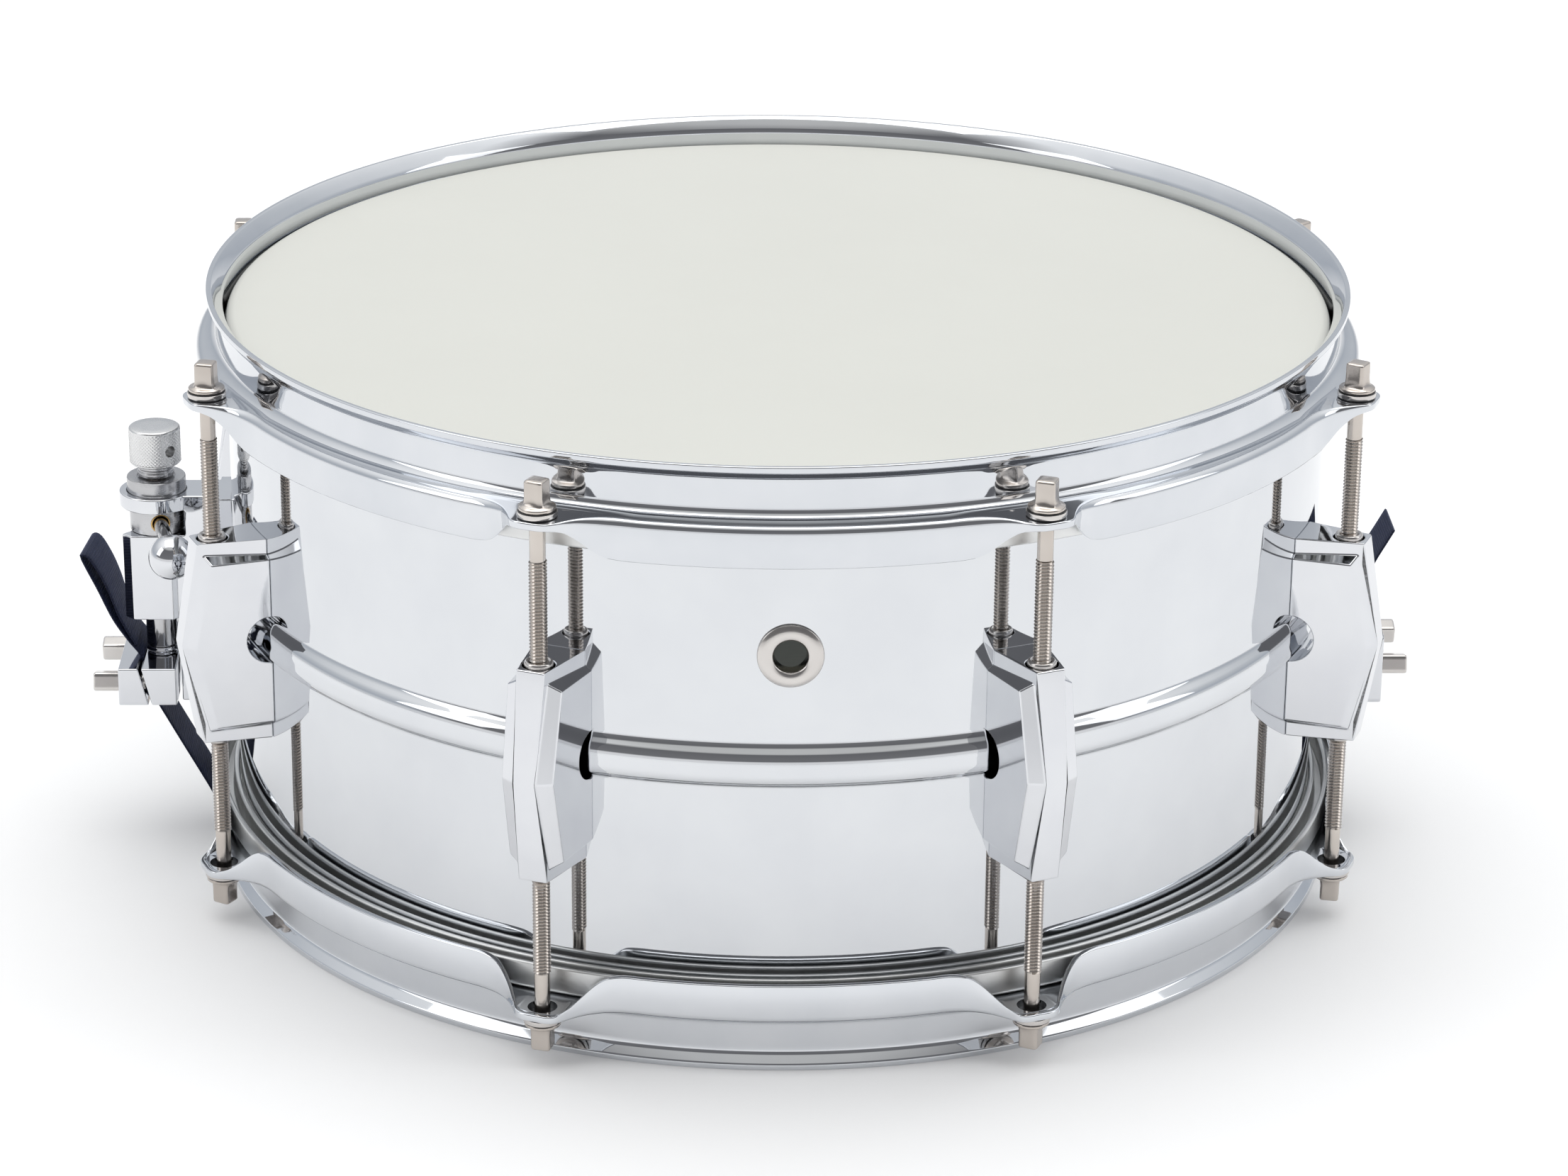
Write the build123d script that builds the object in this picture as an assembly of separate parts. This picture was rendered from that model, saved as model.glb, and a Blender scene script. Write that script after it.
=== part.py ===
from build123d import *
import os

# Snare drum, fourteen-inch metal shell with eight double-ended lugs.
# Millimetres, +Z up. The origin is on the drum's axis, in the plane that the
# bottom rim stands on. The front is -Y, the throw-off is at -X, the butt at +X.
# Most shapes are written from the drum's mid-plane and lifted by MID_HEIGHT.

# ---- driving dimensions -------------------------------------------------
MID_HEIGHT = 96.8  # from the floor to the mid-plane of the shell
SHELL_RADIUS = 177.5
SHELL_THICKNESS = 1.2
EDGE_HEIGHT = 88.0  # bearing edge above the mid-plane
EDGE_RADIUS = 175.2

LUG_COUNT = 8
FIRST_LUG_ANGLE = 22.5
LUG_HALF_HEIGHT = 33.6
LUG_DEPTH_END = 21.2
LUG_DEPTH_MIDDLE = 27.0
ROD_CIRCLE = 192.5

FILM_THICKNESS = 0.3
FILM_RADIUS = SHELL_RADIUS + 0.05
FLESH_HOOP_INNER = 178.0
FLESH_HOOP_OUTER = 184.4
FLESH_HOOP_TOP = 77.6
FLESH_HOOP_BOTTOM = 68.3

HOOP_RIM_RADIUS = 183.4
HOOP_RIM_TOP = MID_HEIGHT
HOOP_WALL_INNER = 178.1
HOOP_SHEET = 2.3
HOOP_APRON_OUTER = 187.2
HOOP_APRON_END = 66.8
EAR_TOP = 80.0
EAR_TIP_RADIUS = 199.2
EAR_HOLE_RADIUS = 4.5

ROD_RADIUS = 2.75
SHANK_RADIUS = 2.4
ROD_END_HEIGHT = 12.0
THREAD_TOP_HEIGHT = 66.3
COLLAR_HEIGHT = 82.2
ROD_HEAD_TOP = 91.4
KEY_SQUARE = 6.0
KEY_CORNER = 0.8
ROD_COLLAR_RADIUS = 5.6
ROD_COLLAR_LENGTH = 1.2
WASHER_RADIUS = 6.0
NYLON_WASHER_RADIUS = 5.7
NYLON_LOW = 0.4  # thickness of the washer on the ear
NYLON_HIGH = 0.3  # thickness of the washer under the rod's collar

NUT_RADIUS = 4.4
NUT_LENGTH = 14.0
NUT_PROUD = 0.9  # how far the nut's nose stands out of the lug
NUT_BORE_RADIUS = ROD_RADIUS + 0.05
LUG_BORE_RADIUS = 4.9
LUG_SCREW_HEIGHT = 22.0
SHANK_HOLE_RADIUS = 2.55  # in the castings, for every fixing and clamp screw
SHANK_SCREW_RADIUS = 2.5
SHELL_HOLE_RADIUS = 2.7
SCREW_HEAD_RADIUS = 4.4
SCREW_HEAD_LENGTH = 2.7
SCREW_WASHER_RADIUS = 5.4
SCREW_WASHER_THICKNESS = 0.8
LUG_SCREW_REACH = 9.5
FITTING_SCREW_REACH = 8.0

VENT_HEIGHT = 36.1
VENT_OUTER_RADIUS = 10.0
VENT_BORE_RADIUS = 4.75
VENT_TUBE_RADIUS = 5.45
VENT_HOLE_RADIUS = 5.5

COLUMN_RADIUS = 202.6  # from the drum's axis to the throw-off's column
COLLAR_BOTTOM = 17.7
COLLAR_TOP = 22.7
PLUG_RADIUS = 9.6
SHAFT_RADIUS = 5.2
SCREW_RADIUS = 3.0
RUNNING_GAP = 0.08
FOOT_OUTER = 182.5
WEB_OUTER = 193.0
WEB_HALF_WIDTH = 8.0
COLLAR_RADIUS = 12.15
BLOCK_INNER = 194.4
BLOCK_OUTER = 213.8
BLOCK_HALF_WIDTH = 9.2
BLOCK_BEVEL = 3.2
BLOCK_STEP = 2.6
BLOCK_TOP = 9.1
BLOCK_BOTTOM = -20.2
LEVER_HEIGHT = 13.4
LEVER_LENGTH = 39.5
LEVER_ROD_RADIUS = 2.4
LEVER_BALL_RADIUS = 7.3
LEVER_REST_ANGLE = 101.8  # from straight outwards, towards the drum's front
SLEEVE_RADIUS = 9.0
BUSH_RADIUS = 3.2
PLUG_TOP = 27.4
SHAFT_BOTTOM = -31.6
ADJUSTER_BOTTOM = -42.5
ADJUSTER_TOP = 36.0
JAW_BOTTOM = -46.0
JAW_TOP = -33.2
JAW_INNER = 196.6
JAW_OUTER = 215.6
JAW_HALF_WIDTH = 20.0
JAW_SCREW_HEIGHT = -39.6
CLAMP_KEY_SQUARE = 6.1
CLAMP_KEY_LENGTH = 8.6
CLAMP_SCREW_REACH = 13.0
CLAMP_SCREW_SPREAD = 14.2
THROW_OFF_SCREW_HEIGHTS = (14.0, -14.0)
STRAP_WIDTH = 20.6
STRAP_THICKNESS = 0.8

BUTT_FACE = 189.6  # the fixed half of the butt's clamp
BUTT_PLATE_OUTER = 199.6
BUTT_TOP = -12.0
BUTT_PLATE_TOP = -22.0
BUTT_BOTTOM = -46.0
BUTT_CLAMP_HEIGHT = -34.0
BUTT_SCREW_HEIGHTS = (-18.0, -42.0)
BUTT_CORNER = 2.0
BUTT_PLATE_CORNER = 1.6

SNARE_COUNT = 20
SNARE_PITCH = 2.05
SNARE_WIRE_RADIUS = 0.8
SNARE_HALF_LENGTH = 150.0
SNARE_PLATE_START = 140.0
SNARE_PLATE_END = 156.0
SNARE_BED_DEPTH = 1.2
SNARE_BED_RADIUS = 600.0
SNARE_GATE_HALF_WIDTH = 28.0

os.makedirs("parts", exist_ok=True)


# ---- small helpers ------------------------------------------------------
def ring(points):
    """Solid of revolution about Z from (radius, height) corners."""
    return revolve(make_face(Plane.XZ * Polyline(*points, close=True)), Axis.Z)


def tube(outer, inner, low, high):
    """Upright tube about the local Z axis."""
    wall = Cylinder(outer, high - low)
    if inner > 0:
        wall -= Cylinder(inner, high - low + 1)
    return Pos(0, 0, (low + high) / 2) * wall


def block(x_range, y_range, z_range):
    """Box between two corners."""
    size = [high - low for low, high in (x_range, y_range, z_range)]
    middle = [(high + low) / 2 for low, high in (x_range, y_range, z_range)]
    return Pos(*middle) * Box(*size)


def lying(shape):
    """Turn a shape made along Z so that it lies along X."""
    return Rot(0, 90, 0) * shape


def upside_down(shape):
    """Mirror image below the mid-plane."""
    return mirror(shape, about=Plane.XY)


def solids_of(shapes):
    """One flat list of the solids in several shapes."""
    return [solid for shape in shapes for solid in shape.solids()]


def save(name, shape):
    """Lift a mid-plane shape to its place and write it to its own file."""
    lifted = Pos(0, 0, MID_HEIGHT) * shape
    export_step(lifted, f"parts/{name}.step")


def save_group(name, shapes):
    """Write separate solids to one file."""
    save(name, Compound(children=solids_of(shapes)))


lug_angles = [FIRST_LUG_ANGLE + 360 / LUG_COUNT * index for index in range(LUG_COUNT)]


def around(shape, angle):
    """Turn a shape built at +X so that it stands at an angle from the front, -Y."""
    return Rot(0, 0, angle - 90) * shape


# ---- shell --------------------------------------------------------------
BEAD_TOP = 7.0
BEAD_BOTTOM = -6.0
BEAD_DEPTH = 3.4
BEAD_EDGE = 0.9  # how far the crest is cut back at its two edges
SHELL_INNER = SHELL_RADIUS - SHELL_THICKNESS


def shell_outline(radius, top, bead_top, bead_bottom, crest):
    """Wall corners from the top edge's turn down to the bottom one, with the bead between."""
    return [
        (radius, top),
        (radius, bead_top),
        (crest - BEAD_EDGE, bead_top - 2.6),
        (crest, bead_top - 4.4),
        (crest, bead_bottom + 3.6),
        (crest - BEAD_EDGE, bead_bottom + 1.8),
        (radius, bead_bottom),
        (radius, -top),
    ]


def bearing_edge(sign):
    """Rounded edge that turns inwards, from the outer wall to the inner one."""
    outside = [
        (SHELL_RADIUS - 0.3, EDGE_HEIGHT - 1.9),
        (SHELL_RADIUS - 1.1, EDGE_HEIGHT - 0.6),
        (EDGE_RADIUS, EDGE_HEIGHT),
    ]
    lip = [(169.6, 83.9), (170.3, 82.9)]
    inside = [(EDGE_RADIUS - 0.4, EDGE_HEIGHT - 1.6), (SHELL_INNER - 0.5, EDGE_HEIGHT - 2.6)]
    return [(radius, sign * height) for radius, height in outside + lip + inside]


def wall_hole(radius, height):
    """Cutter for a hole through the shell's wall at +X."""
    return Pos(SHELL_RADIUS, 0, height) * lying(Cylinder(radius, 10 * SHELL_THICKNESS))


def make_shell():
    crest = SHELL_RADIUS + BEAD_DEPTH
    wall_top = EDGE_HEIGHT - 3.6
    outer = shell_outline(SHELL_RADIUS, wall_top, BEAD_TOP, BEAD_BOTTOM, crest)
    inner = shell_outline(
        SHELL_INNER, wall_top - 0.6, BEAD_TOP - 0.5, BEAD_BOTTOM + 0.5, crest - SHELL_THICKNESS
    )
    outline = outer + bearing_edge(-1) + inner[::-1] + bearing_edge(1)[::-1]
    shell = ring(outline)
    for angle in lug_angles:
        for height in (LUG_SCREW_HEIGHT, -LUG_SCREW_HEIGHT):
            shell -= around(wall_hole(SHELL_HOLE_RADIUS, height), angle)
    for side, heights in ((180, THROW_OFF_SCREW_HEIGHTS), (0, BUTT_SCREW_HEIGHTS)):
        for height in heights:
            shell -= Rot(0, 0, side) * wall_hole(SHELL_HOLE_RADIUS, height)
    shell -= around(wall_hole(VENT_HOLE_RADIUS, VENT_HEIGHT), 0)
    bed = Cylinder(SNARE_BED_RADIUS, 3 * SHELL_RADIUS)
    shell -= Pos(0, 0, -EDGE_HEIGHT + SNARE_BED_DEPTH - SNARE_BED_RADIUS) * lying(bed)
    return shell


def make_vent():
    """Rolled eyelet: a domed ring outside, a thin tube, and a curled ring inside."""
    face = SHELL_RADIUS
    curl_radius = 7.2
    section = [
        (VENT_BORE_RADIUS, face - 3.0),
        (curl_radius, face - 3.0),
        (curl_radius, face - 2.2),
        (VENT_TUBE_RADIUS, face - 1.9),
        (VENT_TUBE_RADIUS, face + 0.05),
        (VENT_OUTER_RADIUS, face + 0.05),
        (VENT_OUTER_RADIUS - 0.15, face + 0.7),
        (8.6, face + 1.6),
        (6.9, face + 1.9),
        (5.4, face + 1.4),
        (VENT_BORE_RADIUS, face + 0.5),
    ]
    return around(Pos(0, 0, VENT_HEIGHT) * lying(ring(section)), 0)


# ---- heads --------------------------------------------------------------
def make_film():
    """Plastic head: flat over the bearing edge, then down beside the shell."""
    skirt = FILM_RADIUS + FILM_THICKNESS
    top = EDGE_HEIGHT + FILM_THICKNESS
    return ring(
        [
            (0, EDGE_HEIGHT),
            (EDGE_RADIUS, EDGE_HEIGHT),
            (SHELL_RADIUS - 1.05, EDGE_HEIGHT - 0.55),
            (FILM_RADIUS - 0.2, EDGE_HEIGHT - 1.9),
            (FILM_RADIUS, EDGE_HEIGHT - 3.6),
            (FILM_RADIUS, FLESH_HOOP_BOTTOM + 1),
            (skirt, FLESH_HOOP_BOTTOM + 1),
            (skirt, EDGE_HEIGHT - 3.5),
            (skirt - 0.2, EDGE_HEIGHT - 1.7),
            (SHELL_RADIUS - 0.9, top - 0.55),
            (EDGE_RADIUS + 0.1, top),
            (0, top),
        ]
    )


def make_flesh_hoop():
    """Aluminium channel that grips the film; its open side faces the drum's middle."""
    leg = 1.7
    web = 1.8
    return ring(
        [
            (FLESH_HOOP_INNER, FLESH_HOOP_TOP),
            (FLESH_HOOP_OUTER - 1.4, FLESH_HOOP_TOP),
            (FLESH_HOOP_OUTER, FLESH_HOOP_TOP - 1.4),
            (FLESH_HOOP_OUTER, FLESH_HOOP_BOTTOM),
            (FLESH_HOOP_OUTER - leg, FLESH_HOOP_BOTTOM),
            (FLESH_HOOP_OUTER - leg, FLESH_HOOP_TOP - web),
            (FLESH_HOOP_INNER + leg, FLESH_HOOP_TOP - web),
            (FLESH_HOOP_INNER + leg, FLESH_HOOP_BOTTOM),
            (FLESH_HOOP_INNER, FLESH_HOOP_BOTTOM),
        ]
    )


# ---- hoops --------------------------------------------------------------
def ear_plate():
    """Flat ear, built at +X, with the rod's hole."""
    tip = [
        (EAR_TIP_RADIUS, -2.6),
        (EAR_TIP_RADIUS, 2.6),
        (EAR_TIP_RADIUS - 1.6, 5.6),
        (193.0, 8.4),
        (188.5, 13.0),
        (185.4, 17.0),
    ]
    mirrored = [(radius, -side) for radius, side in tip[2:]]
    plan = make_face(Polyline(*tip, *mirrored[::-1], close=True))
    plate = Pos(0, 0, EAR_TOP - HOOP_SHEET) * extrude(plan, HOOP_SHEET)
    return plate - Pos(ROD_CIRCLE, 0, EAR_TOP) * Cylinder(EAR_HOLE_RADIUS, 3 * HOOP_SHEET)


def ear_cheek(side):
    """Slanted web that folds the apron's edge out to the ear."""
    under = EAR_TOP - HOOP_SHEET + 0.4
    apron = HOOP_APRON_OUTER - 0.8
    low = (apron, side * 20.0, HOOP_APRON_END + 0.6)
    inner = (apron, side * 17.0, under)
    outer = (194.8, side * 7.6, under)
    face = make_face(Polyline(low, inner, outer, close=True))
    inward = Vector(-0.72, -side * 0.69, 0)
    cheek_thickness = 1.8
    return extrude(face, cheek_thickness, dir=inward)


def make_hoop():
    """Triple-flanged hoop: flared rim, wall, shoulder and apron, with an ear at each rod."""
    wall_outer = HOOP_WALL_INNER + HOOP_SHEET
    apron_inner = HOOP_APRON_OUTER - HOOP_SHEET
    hoop = ring(
        [
            (HOOP_RIM_RADIUS, HOOP_RIM_TOP),
            (HOOP_RIM_RADIUS, HOOP_RIM_TOP - 2.2),
            (wall_outer + 0.2, 92.0),
            (wall_outer, 91.2),
            (wall_outer, 81.8),
            (wall_outer + 1.0, 80.6),
            (HOOP_APRON_OUTER - 1.9, 79.7),
            (HOOP_APRON_OUTER - 0.4, 78.4),
            (HOOP_APRON_OUTER, 76.8),
            (HOOP_APRON_OUTER, HOOP_APRON_END),
            (apron_inner, HOOP_APRON_END),
            (apron_inner, 76.2),
            (apron_inner - 1.6, FLESH_HOOP_TOP),
            (HOOP_WALL_INNER + 0.6, FLESH_HOOP_TOP),
            (HOOP_WALL_INNER, FLESH_HOOP_TOP + 0.8),
            (HOOP_WALL_INNER, 92.6),
            (HOOP_WALL_INNER + 0.3, 93.4),
            (HOOP_RIM_RADIUS - 2.0, HOOP_RIM_TOP),
        ]
    )
    notch_half_width = 14.5
    notch = block(
        (HOOP_RIM_RADIUS + 0.1, HOOP_APRON_OUTER + 2.8),
        (-notch_half_width, notch_half_width),
        (HOOP_APRON_END - 0.5, EAR_TOP - HOOP_SHEET - 0.1),
    )
    for angle in lug_angles:
        hoop -= around(notch, angle)
    for angle in lug_angles:
        ear = ear_plate() + ear_cheek(1) + ear_cheek(-1)
        ear -= Cylinder(FLESH_HOOP_OUTER + 0.2, 400)
        hoop += around(ear, angle)
    return hoop


def cut_snare_gates(hoop):
    """Windows through the bottom hoop's wall and shoulder for the straps."""
    low, high = -92.4, -77.4
    gate = block(
        (SHELL_INNER, HOOP_APRON_OUTER + 0.7),
        (-SNARE_GATE_HALF_WIDTH, SNARE_GATE_HALF_WIDTH),
        (low, high),
    )
    for side in (0, 180):
        hoop -= Rot(0, 0, side) * gate
    return hoop


# ---- lugs ---------------------------------------------------------------
def hexagon_side(depth_end, depth_middle, half_height):
    """Half-hexagon side outline as (depth from the shell, height)."""
    behind = -4
    return [
        (behind, half_height),
        (depth_end, half_height),
        (depth_middle, 0),
        (depth_end, -half_height),
        (behind, -half_height),
    ]


def prism_across(points, half_width):
    """Side outline in X and Z, drawn from the shell, pushed out to both sides."""
    corners = [(SHELL_RADIUS + depth, height) for depth, height in points]
    side = make_face(Plane.XZ * Polyline(*corners, close=True))
    return extrude(side, half_width, both=True)


def wedge(front_half_width, back_half_width, front_depth):
    """Upright wedge that widens towards the shell."""
    slope = (back_half_width - front_half_width) / front_depth
    behind = -4
    widest = back_half_width - slope * behind
    front = front_depth + 2
    narrowest = back_half_width - slope * front
    plan = [
        (SHELL_RADIUS + behind, widest),
        (SHELL_RADIUS + front, narrowest),
        (SHELL_RADIUS + front, -narrowest),
        (SHELL_RADIUS + behind, -widest),
    ]
    return extrude(make_face(Polyline(*plan, close=True)), 60, both=True)


LUG_FRONT_HALF_WIDTH = 3.5
LUG_BACK_HALF_WIDTH = 8.2
PANEL_HALF_HEIGHT = 30.5  # of the panel's foot, sunk in the casing's side
PANEL_DEPTH_END = 19.8
PANEL_DEPTH_MIDDLE = 26.6
PANEL_RISE = 5.0
PANEL_TAPER = 32
PANEL_FOOT_HALF_WIDTH = 5.17
PANEL_SLANT = 4.66  # degrees between the panel's face and the lug's middle plane
BEHIND = 12.0  # how far cut shapes start behind the shell's surface


def lug_panel(side):
    """Raised half-hexagon panel with bevelled edges, on one side of the lug."""
    corners = [
        (-BEHIND, PANEL_HALF_HEIGHT),
        (PANEL_DEPTH_END, PANEL_HALF_HEIGHT),
        (PANEL_DEPTH_MIDDLE, 0),
        (PANEL_DEPTH_END, -PANEL_HALF_HEIGHT),
        (-BEHIND, -PANEL_HALF_HEIGHT),
    ]
    foot = make_face(Plane.XZ * Polyline(*corners, close=True))
    raised = extrude(foot, PANEL_RISE, dir=(0, side, 0), taper=PANEL_TAPER)
    sunk = Pos(0, side * PANEL_FOOT_HALF_WIDTH, 0) * raised
    return Pos(SHELL_RADIUS, 0, 0) * Rot(0, 0, -side * PANEL_SLANT) * sunk


BEAD_RELIEF_RADIUS = 7.6
CUT_LENGTH = 200  # longer than any fitting, for cutters
CASTING_HOLE_DEPTH = 9.0


def casting_hole(height):
    """Cutter for a fixing screw's blind hole, from the shell outwards at +X."""
    length = CASTING_HOLE_DEPTH + 2
    hole = lying(Cylinder(SHANK_HOLE_RADIUS, length))
    return Pos(SHELL_RADIUS + CASTING_HOLE_DEPTH - length / 2, 0, height) * hole


def make_lug():
    """Double-ended lug casing with its rod bore, screw holes and bead relief."""
    core = prism_across(hexagon_side(LUG_DEPTH_END, LUG_DEPTH_MIDDLE, LUG_HALF_HEIGHT), 20)
    core &= wedge(LUG_FRONT_HALF_WIDTH, LUG_BACK_HALF_WIDTH, LUG_DEPTH_MIDDLE)
    lug = core + lug_panel(1) + lug_panel(-1)
    lug -= Cylinder(SHELL_RADIUS, CUT_LENGTH)
    relief = Rot(90, 0, 0) * Cylinder(BEAD_RELIEF_RADIUS, CUT_LENGTH)
    lug -= Pos(SHELL_RADIUS, 0, (BEAD_TOP + BEAD_BOTTOM) / 2) * relief
    lug -= Pos(ROD_CIRCLE, 0, 0) * Cylinder(LUG_BORE_RADIUS, CUT_LENGTH)
    for height in (LUG_SCREW_HEIGHT, -LUG_SCREW_HEIGHT):
        lug -= casting_hole(height)
    return lug


def make_nut():
    """Swivel nut whose nose stands just proud of the lug's mouth."""
    top = LUG_HALF_HEIGHT + NUT_PROUD
    nut = tube(NUT_RADIUS, NUT_BORE_RADIUS, top - NUT_LENGTH, top)
    return Pos(ROD_CIRCLE, 0, 0) * nut


def make_nut_spacer():
    """Sleeve that keeps both nuts of a lug apart."""
    reach = LUG_HALF_HEIGHT + NUT_PROUD - NUT_LENGTH
    bore = 3.6
    return Pos(ROD_CIRCLE, 0, 0) * tube(LUG_BORE_RADIUS - 0.2, bore, -reach, reach)


def shell_screw(height, reach):
    """Screw from inside the shell, pointing outwards, with its domed head."""
    start = SHELL_INNER - SCREW_WASHER_THICKNESS - 0.2
    length = reach + SHELL_INNER - start
    shank = Pos(start + length / 2, 0, height) * lying(Cylinder(SHANK_SCREW_RADIUS, length))
    head = lying(Cylinder(SCREW_HEAD_RADIUS, SCREW_HEAD_LENGTH))
    return shank + Pos(start - SCREW_HEAD_LENGTH / 2, 0, height) * head


def shell_washer(height):
    """Washer between a screw's head and the shell's inner wall."""
    washer = tube(SCREW_WASHER_RADIUS, SHELL_HOLE_RADIUS, 0, SCREW_WASHER_THICKNESS)
    gap = 0.15
    return Pos(SHELL_INNER - gap - SCREW_WASHER_THICKNESS, 0, height) * lying(washer)


# ---- tension rods -------------------------------------------------------
def make_rod():
    """Tension rod: thread, plain shank, collar and square key head."""
    thread = tube(ROD_RADIUS, 0, ROD_END_HEIGHT, THREAD_TOP_HEIGHT)
    shank = tube(SHANK_RADIUS, 0, THREAD_TOP_HEIGHT, COLLAR_HEIGHT)
    key_bottom = COLLAR_HEIGHT + ROD_COLLAR_LENGTH
    collar = tube(ROD_COLLAR_RADIUS, 0, COLLAR_HEIGHT, key_bottom)
    flare_height = 2.2
    flare = Cone(KEY_SQUARE * 0.75, KEY_SQUARE * 0.53, flare_height)
    neck = Pos(0, 0, key_bottom + flare_height / 2) * flare
    key = extrude(RectangleRounded(KEY_SQUARE, KEY_SQUARE, KEY_CORNER), ROD_HEAD_TOP - key_bottom)
    rod = thread + shank + collar + neck + Pos(0, 0, key_bottom) * key
    return Pos(ROD_CIRCLE, 0, 0) * rod


def make_metal_washer():
    bore = ROD_RADIUS + 0.15
    washer = tube(WASHER_RADIUS, bore, EAR_TOP + NYLON_LOW, COLLAR_HEIGHT - NYLON_HIGH)
    return Pos(ROD_CIRCLE, 0, 0) * washer


def make_nylon_washers():
    bore = ROD_RADIUS + 0.05
    low = tube(NYLON_WASHER_RADIUS, bore, EAR_TOP, EAR_TOP + NYLON_LOW)
    high = tube(NYLON_WASHER_RADIUS, bore, COLLAR_HEIGHT - NYLON_HIGH, COLLAR_HEIGHT)
    return [Pos(ROD_CIRCLE, 0, 0) * low, Pos(ROD_CIRCLE, 0, 0) * high]


# ---- throw-off, built at +X and then turned to -X ------------------------
def at_column(shape):
    return Pos(COLUMN_RADIUS, 0, 0) * shape


def to_left(shape):
    return Rot(0, 0, 180) * shape


def clear_of_bead(shape):
    """Cut the shell and its bead away from a fitting's foot."""
    shape -= Cylinder(SHELL_RADIUS, CUT_LENGTH)
    band = BEAD_TOP - BEAD_BOTTOM + 1.6
    clear_radius = SHELL_RADIUS + BEAD_DEPTH + 0.6
    return shape - Pos(0, 0, (BEAD_TOP + BEAD_BOTTOM) / 2) * Cylinder(clear_radius, band)


def guide_block():
    """Block round the shaft, with wide bevels at its front and a narrower back."""
    back = BLOCK_OUTER - BLOCK_STEP
    plan = [
        (BLOCK_INNER + BLOCK_BEVEL, BLOCK_HALF_WIDTH),
        (BLOCK_OUTER - BLOCK_BEVEL, BLOCK_HALF_WIDTH),
        (BLOCK_OUTER, BLOCK_HALF_WIDTH - BLOCK_BEVEL),
        (back, BLOCK_HALF_WIDTH - BLOCK_BEVEL - BLOCK_STEP),
        (back, -BLOCK_HALF_WIDTH),
        (BLOCK_INNER, -BLOCK_HALF_WIDTH),
        (BLOCK_INNER, BLOCK_HALF_WIDTH - BLOCK_BEVEL),
    ]
    upright = extrude(make_face(Polyline(*plan, close=True)), BLOCK_TOP - BLOCK_BOTTOM)
    return Pos(0, 0, BLOCK_BOTTOM) * upright


def make_throw_off_base():
    """Cast bracket: foot on the shell, web, collar ring, guide block and rear rail."""
    width = (-WEB_HALF_WIDTH, WEB_HALF_WIDTH)
    foot = block((SHELL_RADIUS - 7.5, FOOT_OUTER), (-11, 11), (-22, COLLAR_TOP))
    web = block((FOOT_OUTER - 2.5, WEB_OUTER), width, (BLOCK_BOTTOM, COLLAR_TOP))
    collar = at_column(tube(COLLAR_RADIUS, 0, COLLAR_BOTTOM, COLLAR_TOP))
    collar_arm = block((WEB_OUTER - 3, COLUMN_RADIUS - 2.6), width, (COLLAR_BOTTOM, COLLAR_TOP))
    guide = guide_block()
    guide_arm = block((WEB_OUTER - 3, BLOCK_INNER + 3.6), width, (BLOCK_BOTTOM, BLOCK_TOP))
    rail = block((190.6, JAW_INNER - 0.4), (-6, 6), (-50, BLOCK_BOTTOM + 1))
    base = foot + web + collar + collar_arm + guide + guide_arm + rail
    base -= at_column(tube(PLUG_RADIUS + RUNNING_GAP, 0, COLLAR_BOTTOM - 1, COLLAR_TOP + 1))
    base -= at_column(tube(SHAFT_RADIUS + RUNNING_GAP, 0, -60, 16))
    base -= at_column(tube(SLEEVE_RADIUS + 0.3, 0, BLOCK_TOP, COLLAR_BOTTOM))
    base = clear_of_bead(base)
    for height in THROW_OFF_SCREW_HEIGHTS:
        base -= casting_hole(height)
    return base


def make_lever_sleeve():
    """Rotating sleeve between the collar and the guide block; the lever is set in it."""
    sleeve = tube(SLEEVE_RADIUS, SHAFT_RADIUS + 0.1, BLOCK_TOP + 0.1, COLLAR_BOTTOM - 0.1)
    seat = Pos(12, 0, LEVER_HEIGHT) * lying(Cylinder(BUSH_RADIUS, 12))
    return at_column(sleeve - Rot(0, 0, LEVER_REST_ANGLE) * seat)


def make_lever_bush():
    seat = lying(Cylinder(BUSH_RADIUS, 2.8) - Cylinder(LEVER_ROD_RADIUS, 4))
    return at_column(Rot(0, 0, LEVER_REST_ANGLE) * Pos(7.5, 0, LEVER_HEIGHT) * seat)


def make_lever_rod():
    start = 6.2  # from the column's axis
    length = LEVER_LENGTH - LEVER_BALL_RADIUS + 2 - start
    rod = lying(Cylinder(LEVER_ROD_RADIUS, length))
    return at_column(Rot(0, 0, LEVER_REST_ANGLE) * Pos(start + length / 2, 0, LEVER_HEIGHT) * rod)


def make_lever_ball():
    ball = Sphere(LEVER_BALL_RADIUS)
    ball -= Pos(-LEVER_BALL_RADIUS, 0, 0) * lying(Cylinder(LEVER_ROD_RADIUS, 4))
    return at_column(Rot(0, 0, LEVER_REST_ANGLE) * Pos(LEVER_LENGTH, 0, LEVER_HEIGHT) * ball)


def make_plunger():
    """Plug in the collar and the polished shaft below it, bored for the adjusting screw."""
    plug = tube(PLUG_RADIUS, 0, COLLAR_TOP - 0.8, PLUG_TOP)
    shaft = tube(SHAFT_RADIUS, 0, SHAFT_BOTTOM, COLLAR_TOP)
    bore = Cylinder(SCREW_RADIUS + RUNNING_GAP, CUT_LENGTH)
    return at_column(plug + shaft - bore)


KNOB_RADIUS = 8.4
KNOB_BOTTOM = 31.8
KNOB_TOP = 44.3
KNOB_HOLE_ANGLE = 133.0
KNOB_HOLE_RADIUS = 1.9
KNOB_HOLE_HEIGHT = 37.4
KNOB_CHAMFER = 0.7
KNOB_NECK_RADIUS = 5.9
KNOB_NECK_BOTTOM = PLUG_TOP + 0.2


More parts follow.
